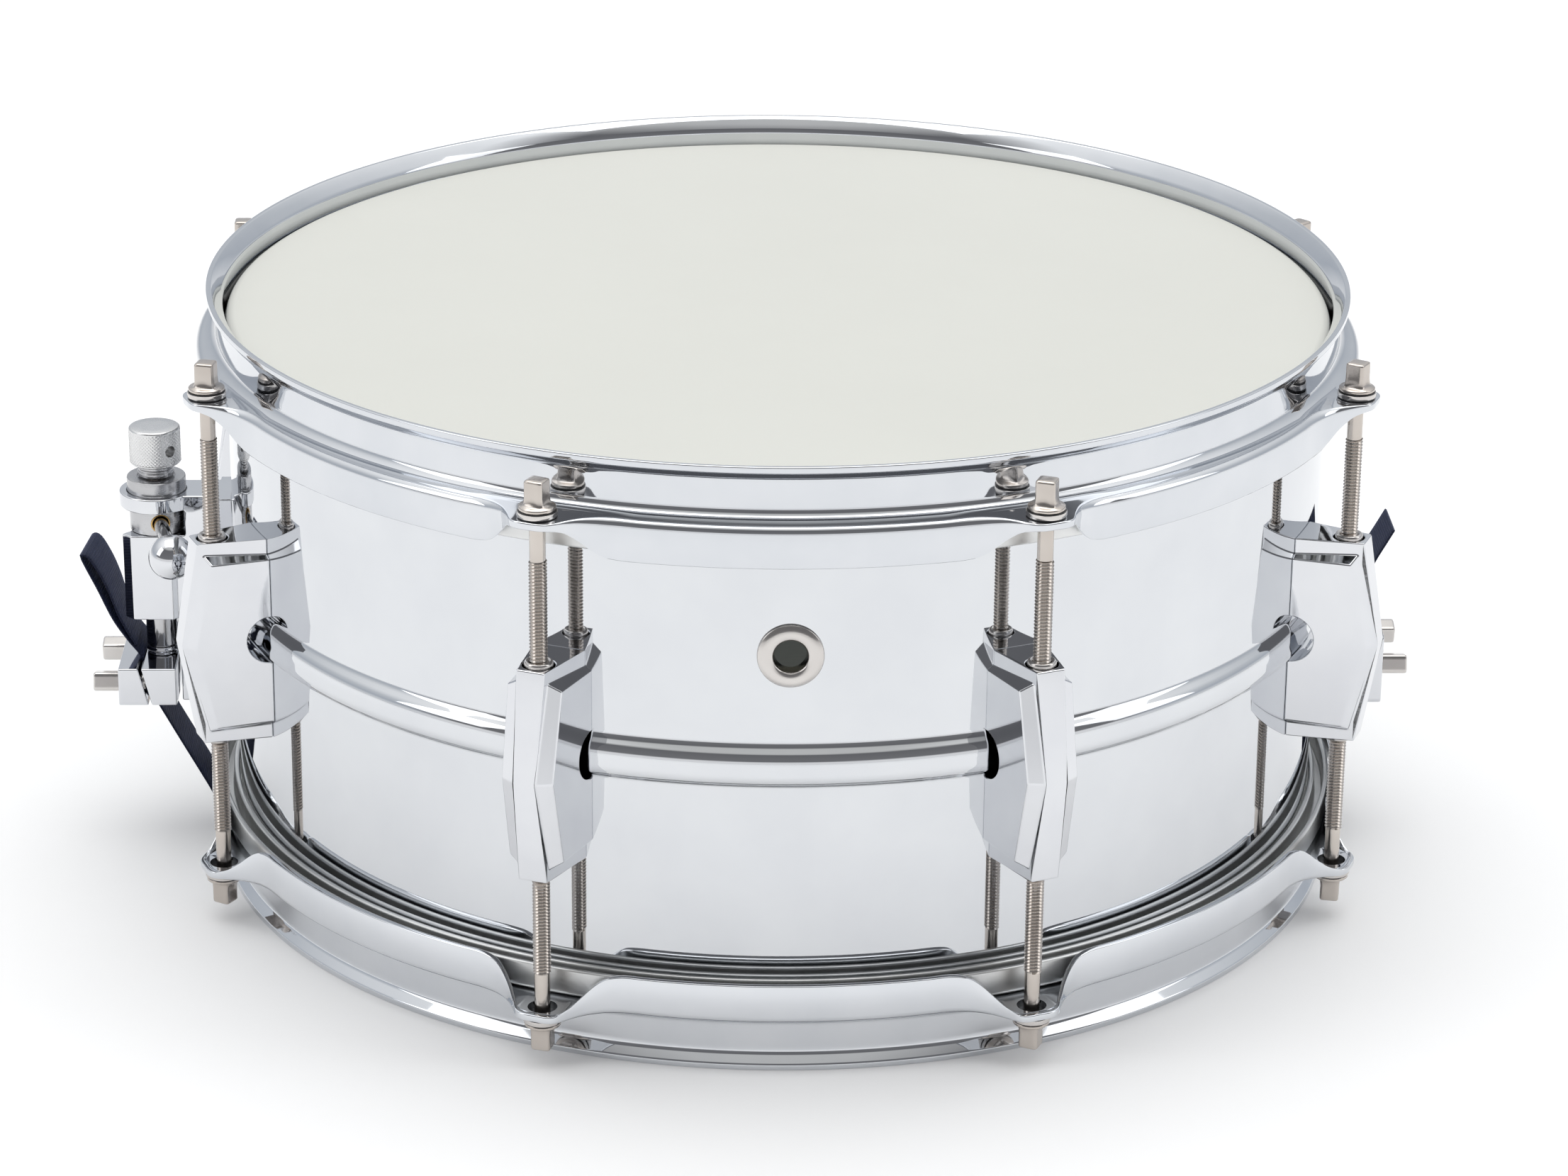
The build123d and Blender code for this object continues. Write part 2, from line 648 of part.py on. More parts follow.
def make_knob():
    """Knob head with its cross hole and the neck below it."""
    head = Pos(0, 0, (KNOB_BOTTOM + KNOB_TOP) / 2) * Cylinder(KNOB_RADIUS, KNOB_TOP - KNOB_BOTTOM)
    head = chamfer(head.edges().filter_by(GeomType.CIRCLE), KNOB_CHAMFER)
    neck = tube(KNOB_NECK_RADIUS, 0, KNOB_NECK_BOTTOM, KNOB_BOTTOM)
    knob = head + neck
    hole = lying(Cylinder(KNOB_HOLE_RADIUS, 9))
    knob -= Rot(0, 0, KNOB_HOLE_ANGLE) * Pos(KNOB_RADIUS, 0, KNOB_HOLE_HEIGHT) * hole
    return at_column(knob - tube(SCREW_RADIUS, 0, KNOB_NECK_BOTTOM - 1, ADJUSTER_TOP))


def make_adjuster_screw():
    return at_column(tube(SCREW_RADIUS, 0, ADJUSTER_BOTTOM, ADJUSTER_TOP))


SPLIT_TOP = 208.6  # where the ribbon enters between the jaws
SPLIT_BOTTOM = 205.4
SPLIT_HALF_GAP = 0.47


def jaw(side_points, half_width):
    face = make_face(Plane.XZ * Polyline(*side_points, close=True))
    return extrude(face, half_width, both=True)


def clamp_shank_hole(side):
    hole = lying(Cylinder(SHANK_HOLE_RADIUS, 20))
    return Pos(209, side * CLAMP_SCREW_SPREAD, JAW_SCREW_HEIGHT) * hole


def make_inner_jaw():
    """Sliding carrier: threaded neck round the screw and the inner half of the clamp."""
    body = jaw(
        [
            (JAW_INNER, JAW_TOP),
            (SPLIT_TOP - SPLIT_HALF_GAP, JAW_TOP),
            (SPLIT_BOTTOM - SPLIT_HALF_GAP, JAW_BOTTOM),
            (JAW_INNER, JAW_BOTTOM),
        ],
        JAW_HALF_WIDTH,
    )
    neck = at_column(tube(SHAFT_RADIUS - 0.1, 0, JAW_TOP - 2, SHAFT_BOTTOM - 0.2))
    carrier = body + neck
    carrier -= at_column(Cylinder(SCREW_RADIUS + RUNNING_GAP, CUT_LENGTH))
    for side in (1, -1):
        carrier -= clamp_shank_hole(side)
    return carrier


def make_outer_jaw():
    plate = jaw(
        [
            (SPLIT_TOP + SPLIT_HALF_GAP, JAW_TOP),
            (JAW_OUTER, JAW_TOP),
            (JAW_OUTER, JAW_BOTTOM),
            (SPLIT_BOTTOM + SPLIT_HALF_GAP, JAW_BOTTOM),
        ],
        JAW_HALF_WIDTH,
    )
    plate -= at_column(Cylinder(SCREW_RADIUS + 0.5, CUT_LENGTH))
    for side in (1, -1):
        plate -= clamp_shank_hole(side)
    return plate


def key_screw(face_radius, side, height, reach):
    """Square-headed clamp screw that points outwards from a face."""
    shank = Pos(face_radius - reach / 2, side, height) * lying(Cylinder(SHANK_SCREW_RADIUS, reach))
    square = RectangleRounded(CLAMP_KEY_SQUARE, CLAMP_KEY_SQUARE, KEY_CORNER)
    head = Pos(face_radius, side, height) * lying(extrude(square, CLAMP_KEY_LENGTH))
    return shank + head


# ---- butt, built at +X ---------------------------------------------------
def make_butt_base():
    """Cast foot on the shell, with the fixed half of the clamp."""
    width = (-JAW_HALF_WIDTH, JAW_HALF_WIDTH)
    foot = block((SHELL_RADIUS - 7.5, BUTT_FACE), width, (BUTT_BOTTOM, BUTT_TOP))
    foot = fillet(foot.edges().filter_by(Axis.X), BUTT_CORNER)
    foot -= Cylinder(SHELL_RADIUS, CUT_LENGTH)
    for height in BUTT_SCREW_HEIGHTS:
        foot -= casting_hole(height)
    return foot - butt_shank_holes()


def butt_shank_holes():
    shapes = []
    for side in (1, -1):
        hole = lying(Cylinder(SHANK_HOLE_RADIUS, 16))
        middle = BUTT_PLATE_OUTER - 7.1
        shapes.append(Pos(middle, side * CLAMP_SCREW_SPREAD, BUTT_CLAMP_HEIGHT) * hole)
    return shapes


def make_butt_plate():
    inner = BUTT_FACE + STRAP_THICKNESS
    plate = block(
        (inner, BUTT_PLATE_OUTER), (-JAW_HALF_WIDTH, JAW_HALF_WIDTH), (BUTT_BOTTOM, BUTT_PLATE_TOP)
    )
    return fillet(plate.edges().filter_by(Axis.X), BUTT_PLATE_CORNER) - butt_shank_holes()


# ---- straps and snare wires ----------------------------------------------
SNARE_PLATE_TOP = -90.0
SNARE_PLATE_BOTTOM = -91.0


def strap(points):
    """Flat ribbon that follows (radius, height) points at +X."""
    path = Polyline(*points)
    band = Plane.XZ * trace(path, STRAP_THICKNESS)
    return extrude(band, STRAP_WIDTH / 2, both=True, dir=(0, 1, 0))


STRAP_RUN_START = (SPLIT_BOTTOM - 0.2, JAW_BOTTOM - 0.6)

strap_under_drum = [
    (188.4, -78.4),
    (179.0, -90.4),
    (160.0, SNARE_PLATE_BOTTOM - STRAP_THICKNESS / 2),
    (149.0, SNARE_PLATE_BOTTOM - STRAP_THICKNESS / 2),
]

throw_off_tail = [
    (SPLIT_BOTTOM, JAW_BOTTOM),
    (SPLIT_TOP + 0.2, JAW_TOP + 0.8),
    (212.6, -27.0),
    (217.2, -19.6),
    (221.8, -9.0),
    (226.6, 1.8),
    (226.2, 3.3),
    (224.0, 2.0),
    (220.6, -4.0),
    (218.1, -10.5),
    (215.7, -17.8),
    (214.8, -20.6),
    (212.8, -24.2),
    (210.6, -27.6),
]

butt_tail = [
    (202.4, 11.3),
    (197.6, 2.5),
    (192.8, -9.0),
    (190.0, -21.0),
    (190.0, -47.0),
    (188.4, -66.0),
]


def make_snare_wires():
    wires = []
    height = -EDGE_HEIGHT - FILM_THICKNESS - 0.05 - SNARE_WIRE_RADIUS
    for index in range(SNARE_COUNT):
        offset = (index - (SNARE_COUNT - 1) / 2) * SNARE_PITCH
        wires.append(Pos(0, offset, height) * lying(Cylinder(SNARE_WIRE_RADIUS, 2 * SNARE_HALF_LENGTH)))
    return wires


def make_snare_plate():
    half_width = SNARE_COUNT * SNARE_PITCH / 2 + 1.5
    length = (SNARE_PLATE_START, SNARE_PLATE_END)
    return block(length, (-half_width, half_width), (SNARE_PLATE_BOTTOM, SNARE_PLATE_TOP))


# ---- write the parts ----------------------------------------------------
save("shell", make_shell())
save("air_vent", make_vent())

film = make_film()
save("batter_head", film)
save("snare_side_head", upside_down(film))
flesh_hoop = make_flesh_hoop()
save("batter_flesh_hoop", flesh_hoop)
save("snare_side_flesh_hoop", upside_down(flesh_hoop))

hoop = make_hoop()
save("top_hoop", hoop)
save("bottom_hoop", cut_snare_gates(upside_down(hoop)))

lug = make_lug()
rod = make_rod()
for number, angle in enumerate(lug_angles, start=1):
    save(f"lug_{number}", around(lug, angle))
    save(f"top_rod_{number}", around(rod, angle))
    save(f"bottom_rod_{number}", around(upside_down(rod), angle))


def at_every_lug(shapes):
    return [around(shape, angle) for shape in shapes for angle in lug_angles]


def on_both_ends(shapes):
    return shapes + [upside_down(shape) for shape in shapes]


screw_heights = (LUG_SCREW_HEIGHT, -LUG_SCREW_HEIGHT)
save_group("lug_swivel_nuts", at_every_lug(on_both_ends([make_nut()])))
save_group("lug_nut_spacers", at_every_lug([make_nut_spacer()]))
lug_screws = [shell_screw(height, LUG_SCREW_REACH) for height in screw_heights]
save_group("lug_screws", at_every_lug(lug_screws))
save_group("lug_screw_washers", at_every_lug([shell_washer(height) for height in screw_heights]))
save_group("rod_washers", at_every_lug(on_both_ends([make_metal_washer()])))
save_group("rod_nylon_washers", at_every_lug(on_both_ends(make_nylon_washers())))

save("throw_off_base", to_left(make_throw_off_base()))
save("lever_sleeve", to_left(make_lever_sleeve()))
save("lever_bush", to_left(make_lever_bush()))
save("lever_rod", to_left(make_lever_rod()))
save("lever_ball", to_left(make_lever_ball()))
save("plunger", to_left(make_plunger()))
save("tension_knob", to_left(make_knob()))
save("adjuster_screw", to_left(make_adjuster_screw()))
save("inner_jaw", to_left(make_inner_jaw()))
save("outer_jaw", to_left(make_outer_jaw()))
jaw_screws = [
    key_screw(JAW_OUTER, side * CLAMP_SCREW_SPREAD, JAW_SCREW_HEIGHT, CLAMP_SCREW_REACH)
    for side in (1, -1)
]
save_group("jaw_screws", [to_left(screw) for screw in jaw_screws])
save("throw_off_strap_tail", to_left(strap(throw_off_tail)))
save("throw_off_strap", to_left(strap([STRAP_RUN_START] + strap_under_drum)))

save("butt_base", make_butt_base())
save("butt_plate", make_butt_plate())
butt_screws = [
    key_screw(BUTT_PLATE_OUTER, side * CLAMP_SCREW_SPREAD, BUTT_CLAMP_HEIGHT, CLAMP_SCREW_REACH)
    for side in (1, -1)
]
save_group("butt_clamp_screws", butt_screws)
save("butt_strap", strap(butt_tail + strap_under_drum))

fitting_screws = [to_left(shell_screw(height, FITTING_SCREW_REACH)) for height in THROW_OFF_SCREW_HEIGHTS]
fitting_screws += [shell_screw(height, FITTING_SCREW_REACH) for height in BUTT_SCREW_HEIGHTS]
save_group("fitting_screws", fitting_screws)
fitting_washers = [to_left(shell_washer(height)) for height in THROW_OFF_SCREW_HEIGHTS]
fitting_washers += [shell_washer(height) for height in BUTT_SCREW_HEIGHTS]
save_group("fitting_washers", fitting_washers)

save_group("snare_wires", make_snare_wires())
plate = make_snare_plate()
save_group("snare_end_plates", [plate, to_left(plate)])
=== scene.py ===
import math

import bmesh
import bpy
from mathutils import Matrix, Quaternion, Vector


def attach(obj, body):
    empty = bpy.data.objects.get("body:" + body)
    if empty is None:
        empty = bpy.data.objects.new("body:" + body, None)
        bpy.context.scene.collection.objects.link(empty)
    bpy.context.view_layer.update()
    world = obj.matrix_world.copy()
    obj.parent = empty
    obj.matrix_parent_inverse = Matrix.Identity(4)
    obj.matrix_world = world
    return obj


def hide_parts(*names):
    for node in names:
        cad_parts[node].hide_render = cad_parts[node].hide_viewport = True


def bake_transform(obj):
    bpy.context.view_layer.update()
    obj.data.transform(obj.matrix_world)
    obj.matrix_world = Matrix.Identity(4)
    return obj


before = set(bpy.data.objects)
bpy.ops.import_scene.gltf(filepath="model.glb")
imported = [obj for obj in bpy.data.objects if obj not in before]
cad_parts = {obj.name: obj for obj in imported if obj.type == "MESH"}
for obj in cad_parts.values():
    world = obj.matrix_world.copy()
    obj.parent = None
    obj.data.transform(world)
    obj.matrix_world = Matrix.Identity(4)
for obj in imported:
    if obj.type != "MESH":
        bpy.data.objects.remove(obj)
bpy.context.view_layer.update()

# A chrome snare drum. Most shapes are written in millimetres from the drum's
# mid-plane, at +X, and put in place by a matrix.

MM = 0.001
MID = 96.8  # height of the mid-plane over the floor
LUG_ANGLES = [22.5 + 45 * i for i in range(8)]
ROD_CIRCLE = 192.5
COLUMN = 202.6
SHELL = 177.5
LEVER_ANGLE = 101.8  # from straight outwards, towards the drum's front
LEVER_HEIGHT = 13.4
LEVER_LENGTH = 39.5
BALL_RADIUS = 7.3
BUSH_RADIUS = 3.2
VENT_HEIGHT = 36.1
VENT_BORE = 5.4
EAR_HOLE = 4.5
HOOP_RADIUS = 190.0  # distances along the rim are measured at this radius
EAR_SPAN = 30.0
EAR_STEP = 0.75
THREAD_LOW = 12.0
THREAD_TOP = 66.3

LIFT = Matrix.Translation((0, 0, MID * MM))
FLIP = Matrix.Rotation(math.pi, 4, "X")
TO_LEFT = LIFT @ Matrix.Rotation(math.pi, 4, "Z")
AT_RIGHT = LIFT.copy()


def about(angle):
    """Turn about Z, in degrees."""
    return Matrix.Rotation(math.radians(angle), 4, "Z")


def at_angle(angle):
    """Place for a shape built at +X that stands at an angle from the front."""
    return LIFT @ about(angle - 90)


def shift(x=0.0, y=0.0, z=0.0):
    return Matrix.Translation((x * MM, y * MM, z * MM))


# ---- mesh tools -----------------------------------------------------------
def placed(name, data):
    """New object in the scene that holds a mesh, a light or a camera."""
    obj = bpy.data.objects.new(name, data)
    bpy.context.scene.collection.objects.link(obj)
    return obj


def make(name, verts, faces, sharp=32, merge=True):
    """Mesh object from vertices in millimetres, smooth but for its sharp edges."""
    mesh = bpy.data.meshes.new(name)
    mesh.from_pydata([(x * MM, y * MM, z * MM) for x, y, z in verts], [], faces)
    bm = bmesh.new()
    bm.from_mesh(mesh)
    if merge:
        bmesh.ops.remove_doubles(bm, verts=bm.verts, dist=1e-7)
    bmesh.ops.recalc_face_normals(bm, faces=bm.faces)
    bm.to_mesh(mesh)
    bm.free()
    soften(mesh, sharp)
    return placed(name, mesh)


def soften(mesh, sharp):
    """Smooth shading, broken at edges sharper than the angle."""
    mesh.polygons.foreach_set("use_smooth", [True] * len(mesh.polygons))
    mesh.set_sharp_from_angle(angle=math.radians(sharp))
    mesh.update()


def moved(obj, matrix):
    """The object's mesh carried by a matrix, so that its origin stays at the row's origin."""
    obj.data.transform(matrix)
    obj.data.update()
    return obj


def join(name, objects, sharp=32):
    """One object from several, keeping the order of their materials."""
    bm = bmesh.new()
    slots = []
    for obj in objects:
        for material in obj.data.materials:
            if material not in slots:
                slots.append(material)
    for obj in objects:
        start = len(bm.faces)
        bm.from_mesh(obj.data)
        bm.faces.ensure_lookup_table()
        names = list(obj.data.materials)
        for face in bm.faces[start:]:
            if names:
                face.material_index = slots.index(names[face.material_index])
    mesh = bpy.data.meshes.new(name)
    bm.to_mesh(mesh)
    bm.free()
    for material in slots:
        mesh.materials.append(material)
    soften(mesh, sharp)
    result = placed(name, mesh)
    for obj in objects:
        old = obj.data
        bpy.data.objects.remove(obj)
        if old.users == 0:
            bpy.data.meshes.remove(old)
    return result


def copies(name, obj, matrices, sharp=32):
    """One object that holds the mesh at each of several places."""
    bm = bmesh.new()
    for matrix in matrices:
        mesh = obj.data.copy()
        mesh.transform(matrix)
        bm.from_mesh(mesh)
        bpy.data.meshes.remove(mesh)
    bmesh.ops.recalc_face_normals(bm, faces=bm.faces)
    mesh = bpy.data.meshes.new(name)
    bm.to_mesh(mesh)
    bm.free()
    for material in obj.data.materials:
        mesh.materials.append(material)
    soften(mesh, sharp)
    result = placed(name, mesh)
    bpy.data.objects.remove(obj)
    return result


def cut(obj, cutters, sharp=32):
    """Exact difference, applied to the mesh."""
    for cutter in cutters:
        modifier = obj.modifiers.new("cut", "BOOLEAN")
        modifier.operation = "DIFFERENCE"
        modifier.solver = "EXACT"
        modifier.object = cutter
    bpy.context.view_layer.update()
    graph = bpy.context.evaluated_depsgraph_get()
    mesh = bpy.data.meshes.new_from_object(obj.evaluated_get(graph))
    obj.modifiers.clear()
    old = obj.data
    obj.data = mesh
    bpy.data.meshes.remove(old)
    for cutter in cutters:
        bpy.data.objects.remove(cutter)
    soften(obj.data, sharp)
    return obj


def rounded(points, radius, steps=3, closed=True):
    """The outline with each corner turned in an arc; a third number on a point is its own radius."""
    result = []
    count = len(points)
    for i, point in enumerate(points):
        own = point[2] if len(point) > 2 else radius
        here = Vector(point[:2])
        if not closed and i in (0, count - 1):
            result.append(tuple(here))
            continue
        before = Vector(points[i - 1][:2]) - here
        after = Vector(points[(i + 1) % count][:2]) - here
        reach = min(own, before.length * 0.45, after.length * 0.45)
        if reach < 1e-4:
            result.append(tuple(here))
            continue
        start = here + before.normalized() * reach
        end = here + after.normalized() * reach
        for step in range(steps + 1):
            t = step / steps
            spot = start * (1 - t) ** 2 + here * 2 * t * (1 - t) + end * t * t
            result.append(tuple(spot))
    return result


def lathe(name, outline, segments=64, sharp=32, closed=True):
    """Outline of (radius, height) turned about Z."""
    verts = []
    faces = []
    rows = len(outline)
    for j in range(segments):
        angle = 2 * math.pi * j / segments
        c, s = math.cos(angle), math.sin(angle)
        verts += [(r * c, r * s, z) for r, z in outline]
    last = rows if closed else rows - 1
    for j in range(segments):
        k = (j + 1) % segments
        for i in range(last):
            n = (i + 1) % rows
            corners = [j * rows + i, j * rows + n, k * rows + n, k * rows + i]
            if outline[i][0] < 1e-6:
                corners = [corners[0], corners[1], corners[2]]
            elif outline[n][0] < 1e-6:
                corners = [corners[0], corners[1], corners[3]]
            if outline[i][0] < 1e-6 and outline[n][0] < 1e-6:
                continue
            faces.append(corners)
    return make(name, verts, faces, sharp)


def rod(name, radius, low, high, segments=32, edge=0.25):
    """Solid pin along Z with eased ends."""
    outline = rounded([(0, low), (radius, low), (radius, high), (0, high)], edge, closed=False)
    return lathe(name, outline, segments, closed=False)


def tube(name, outer, inner, low, high, segments=64, edge=0.2):
    """Ring along Z with eased edges."""
    outline = rounded([(inner, low), (outer, low), (outer, high), (inner, high)], edge)
    return lathe(name, outline, segments)


def loft(name, sections, sharp=32):
    """Skin over rings of points with equal counts, closed at both ends."""
    count = len(sections[0])
    verts = [point for section in sections for point in section]
    faces = []
    for row in range(len(sections) - 1):
        for i in range(count):
            k = (i + 1) % count
            faces.append(
                [row * count + i, row * count + k, (row + 1) * count + k, (row + 1) * count + i]
            )
    faces.append(list(range(count))[::-1])
    faces.append([(len(sections) - 1) * count + i for i in range(count)])
    return make(name, verts, faces, sharp)


def squared(half, corner, count=48):
    """Points round a square with rounded corners, or round a circle when corner equals half."""
    points = []
    for i in range(count):
        angle = 2 * math.pi * (i + 0.5) / count
        c, s = math.cos(angle), math.sin(angle)
        flat = half - corner
        reach = half / max(abs(c), abs(s))
        x, y = reach * c, reach * s
        if abs(x) > flat and abs(y) > flat:
            sx, sy = math.copysign(flat, x), math.copysign(flat, y)
            b = sx * c + sy * s
            d = b * b - (sx * sx + sy * sy - corner * corner)
            reach = b + math.sqrt(max(d, 0))
            x, y = reach * c, reach * s
        points.append((x, y))
    return points


def lying(obj):
    """Turns a shape along Z so that it points along +X."""
    return moved(obj, Matrix.Rotation(math.pi / 2, 4, "Y"))


# ---- materials ------------------------------------------------------------
def nodes_of(name):
    material = bpy.data.materials.new(name)
    material.use_nodes = True
    tree = material.node_tree
    return material, tree, tree.nodes["Principled BSDF"]


def add(tree, kind, **values):
    """Shader node with its properties or inputs set by name."""
    node = tree.nodes.new(kind)
    for key, value in values.items():
        if hasattr(node, key):
            setattr(node, key, value)
        else:
            node.inputs[key.replace("_", " ")].default_value = value
    return node


def ramp(tree, source, stops):
    node = tree.nodes.new("ShaderNodeValToRGB")
    tree.links.new(source, node.inputs[0])
    elements = node.color_ramp.elements
    while len(elements) < len(stops):
        elements.new(0.5)
    for element, (place, color) in zip(elements, stops):
        element.position = place
        element.color = color if len(color) == 4 else (*color, 1)
    return node


def span(tree, source, low, high):
    """A 0 to 1 value mapped to a range."""
    node = tree.nodes.new("ShaderNodeMapRange")
    tree.links.new(source, node.inputs["Value"])
    node.inputs["To Min"].default_value = low
    node.inputs["To Max"].default_value = high
    return node.outputs["Result"]


def noise(tree, place, scale, detail=3.0, rough=0.55):
    node = add(tree, "ShaderNodeTexNoise", Scale=scale, Detail=detail, Roughness=rough)
    tree.links.new(place, node.inputs["Vector"])
    return node.outputs["Fac"]


def stretched(tree, place, scale):
    node = add(tree, "ShaderNodeMapping")
    node.inputs["Scale"].default_value = scale
    tree.links.new(place, node.inputs["Vector"])
    return node.outputs["Vector"]


def bumped(tree, shader, source, distance, strength=1.0, after=None):
    node = add(tree, "ShaderNodeBump", Strength=strength, Distance=distance)
    tree.links.new(source, node.inputs["Height"])
    if after is not None:
        tree.links.new(after, node.inputs["Normal"])
    tree.links.new(node.outputs["Normal"], shader.inputs["Normal"])
    return node.outputs["Normal"]


def tinted(tree, shader, source, dark, light):
    """Base colour that drifts between two tints."""
    node = ramp(tree, source, [(0.25, dark), (0.75, light)])
    tree.links.new(node.outputs["Color"], shader.inputs["Base Color"])


def metal(name, dark, light, rough, grain, bump, streak=None):
    """Plated or turned metal: cloudy tint, uneven gloss and a faint relief."""
    material, tree, shader = nodes_of(name)
    place = add(tree, "ShaderNodeTexCoord").outputs["Object"]
    shader.inputs["Metallic"].default_value = 1.0
    tinted(tree, shader, noise(tree, place, 38.0), dark, light)
    fine = stretched(tree, place, streak) if streak else place
    marks = noise(tree, fine, grain, 4.0, 0.6)
    tree.links.new(span(tree, marks, *rough), shader.inputs["Roughness"])
    bumped(tree, shader, marks, bump)
    return material


CHROME = metal("mirror_chrome", (0.66, 0.675, 0.70), (0.70, 0.715, 0.735), (0.015, 0.055), 90.0, 0.0000012)
CHROME_HOOP = metal("hoop_chrome", (0.63, 0.65, 0.68), (0.69, 0.705, 0.73), (0.02, 0.075), 70.0, 0.0000035)
CHROME_CAST = metal("cast_chrome", (0.66, 0.67, 0.70), (0.72, 0.73, 0.75), (0.02, 0.07), 120.0, 0.0000030)
SATIN = metal("dull_plate", (0.40, 0.40, 0.41), (0.56, 0.56, 0.57), (0.16, 0.34), 260.0, 0.000006, (1, 1, 14))
POLISHED = metal(
    "polished_steel", (0.50, 0.50, 0.51), (0.62, 0.62, 0.63), (0.06, 0.16), 240.0, 0.000003, (1, 1, 18)
)
NICKEL = metal("warm_nickel", (0.50, 0.45, 0.41), (0.62, 0.575, 0.53), (0.16, 0.30), 420.0, 0.000006)
NICKEL_PALE = metal("pale_nickel", (0.58, 0.55, 0.53), (0.68, 0.655, 0.63), (0.14, 0.26), 420.0, 0.000005)
KNURL = metal("matt_nickel", (0.60, 0.60, 0.60), (0.76, 0.76, 0.76), (0.20, 0.34), 500.0, 0.000008)
BRASS = metal("bare_brass", (0.46, 0.28, 0.10), (0.66, 0.44, 0.18), (0.14, 0.30), 380.0, 0.000006)
BRASS_PLATE = metal("brass_sheet", (0.52, 0.36, 0.15), (0.66, 0.48, 0.22), (0.2, 0.36), 300.0, 0.000006)
ALUMINIUM = metal(
    "drawn_aluminium", (0.60, 0.605, 0.60), (0.78, 0.785, 0.78), (0.30, 0.46), 160.0, 0.000006, (1, 1, 10)
)
WIRE = metal("snare_steel", (0.50, 0.50, 0.51), (0.66, 0.66, 0.67), (0.18, 0.32), 600.0, 0.000004)


def coated_film():
    """Sprayed rough coating on a translucent plastic film."""
    material, tree, shader = nodes_of("coated_film")
    place = add(tree, "ShaderNodeTexCoord").outputs["Object"]
    tinted(tree, shader, noise(tree, place, 9.0, 5.0), (0.732, 0.736, 0.690), (0.758, 0.762, 0.716))
    speckle = noise(tree, place, 1500.0, 3.0, 0.65)
    cloud = noise(tree, place, 240.0, 3.0, 0.6)
    tree.links.new(span(tree, cloud, 0.62, 0.82), shader.inputs["Roughness"])
    first = bumped(tree, shader, cloud, 0.00004, 0.5)
    bumped(tree, shader, speckle, 0.00005, 0.7, first)
    shader.inputs["Specular IOR Level"].default_value = 0.35
    glow = add(tree, "ShaderNodeBsdfTranslucent", Color=(0.80, 0.79, 0.72, 1))
    mix = add(tree, "ShaderNodeMixShader")
    mix.inputs["Fac"].default_value = 0.16
    tree.links.new(shader.outputs["BSDF"], mix.inputs[1])
    tree.links.new(glow.outputs["BSDF"], mix.inputs[2])
    out = tree.nodes["Material Output"]
    tree.links.new(mix.outputs["Shader"], out.inputs["Surface"])
    return material


def clear_film():
    """Thin hazy film, lightly scuffed."""
    material, tree, shader = nodes_of("clear_film")
    place = add(tree, "ShaderNodeTexCoord").outputs["Object"]
    tinted(tree, shader, noise(tree, place, 14.0, 4.0), (0.74, 0.76, 0.75), (0.82, 0.83, 0.81))
    scuff = noise(tree, stretched(tree, place, (1, 6, 1)), 120.0, 5.0, 0.7)
    tree.links.new(span(tree, scuff, 0.12, 0.30), shader.inputs["Roughness"])
    bumped(tree, shader, scuff, 0.000010)
    clear = add(tree, "ShaderNodeBsdfTransparent", Color=(0.92, 0.94, 0.93, 1))
    mix = add(tree, "ShaderNodeMixShader")
    tree.links.new(span(tree, scuff, 0.50, 0.62), mix.inputs["Fac"])
    tree.links.new(shader.outputs["BSDF"], mix.inputs[1])
    tree.links.new(clear.outputs["BSDF"], mix.inputs[2])
    out = tree.nodes["Material Output"]
    tree.links.new(mix.outputs["Shader"], out.inputs["Surface"])
    return material


def black_nylon():
    material, tree, shader = nodes_of("black_nylon")
    place = add(tree, "ShaderNodeTexCoord").outputs["Object"]
    tinted(tree, shader, noise(tree, place, 300.0), (0.012, 0.012, 0.013), (0.03, 0.03, 0.032))
    grain = noise(tree, place, 1400.0)
    tree.links.new(span(tree, grain, 0.38, 0.55), shader.inputs["Roughness"])
    bumped(tree, shader, grain, 0.00002)
    return material


def ribbon_cloth():
    """Navy grosgrain: fine crosswise ribs, with the warp's threads between them."""
    material, tree, shader = nodes_of("navy_ribbon")
    place = add(tree, "ShaderNodeUVMap", uv_map="along").outputs["UV"]
    parts = add(tree, "ShaderNodeSeparateXYZ")
    tree.links.new(place, parts.inputs["Vector"])
    heights = []
    for output, pitch in (("Y", 0.00095), ("X", 0.00042)):
        scaled = add(tree, "ShaderNodeMath", operation="MULTIPLY")
        scaled.inputs[1].default_value = 2 * math.pi / pitch
        tree.links.new(parts.outputs[output], scaled.inputs[0])
        wave = add(tree, "ShaderNodeMath", operation="SINE")
        tree.links.new(scaled.outputs["Value"], wave.inputs[0])
        heights.append(span(tree, wave.outputs["Value"], -0.25, 1.25))
    mixed = add(tree, "ShaderNodeMath", operation="MULTIPLY_ADD")
    mixed.inputs[1].default_value = 0.22
    tree.links.new(heights[1], mixed.inputs[0])
    tree.links.new(heights[0], mixed.inputs[2])
    fuzz = noise(tree, stretched(tree, place, (900, 900, 1)), 2.0, 4.0, 0.7)
    tinted(tree, shader, fuzz, (0.0035, 0.0055, 0.020), (0.010, 0.015, 0.046))
    first = bumped(tree, shader, mixed.outputs["Value"], 0.00012, 0.9)
    bumped(tree, shader, fuzz, 0.00004, 0.5, first)
    shader.inputs["Roughness"].default_value = 0.62
    shader.inputs["Sheen Weight"].default_value = 0.35
    shader.inputs["Sheen Roughness"].default_value = 0.4
    shader.inputs["Sheen Tint"].default_value = (0.25, 0.32, 0.62, 1)
    shader.inputs["Specular IOR Level"].default_value = 0.3
    return material


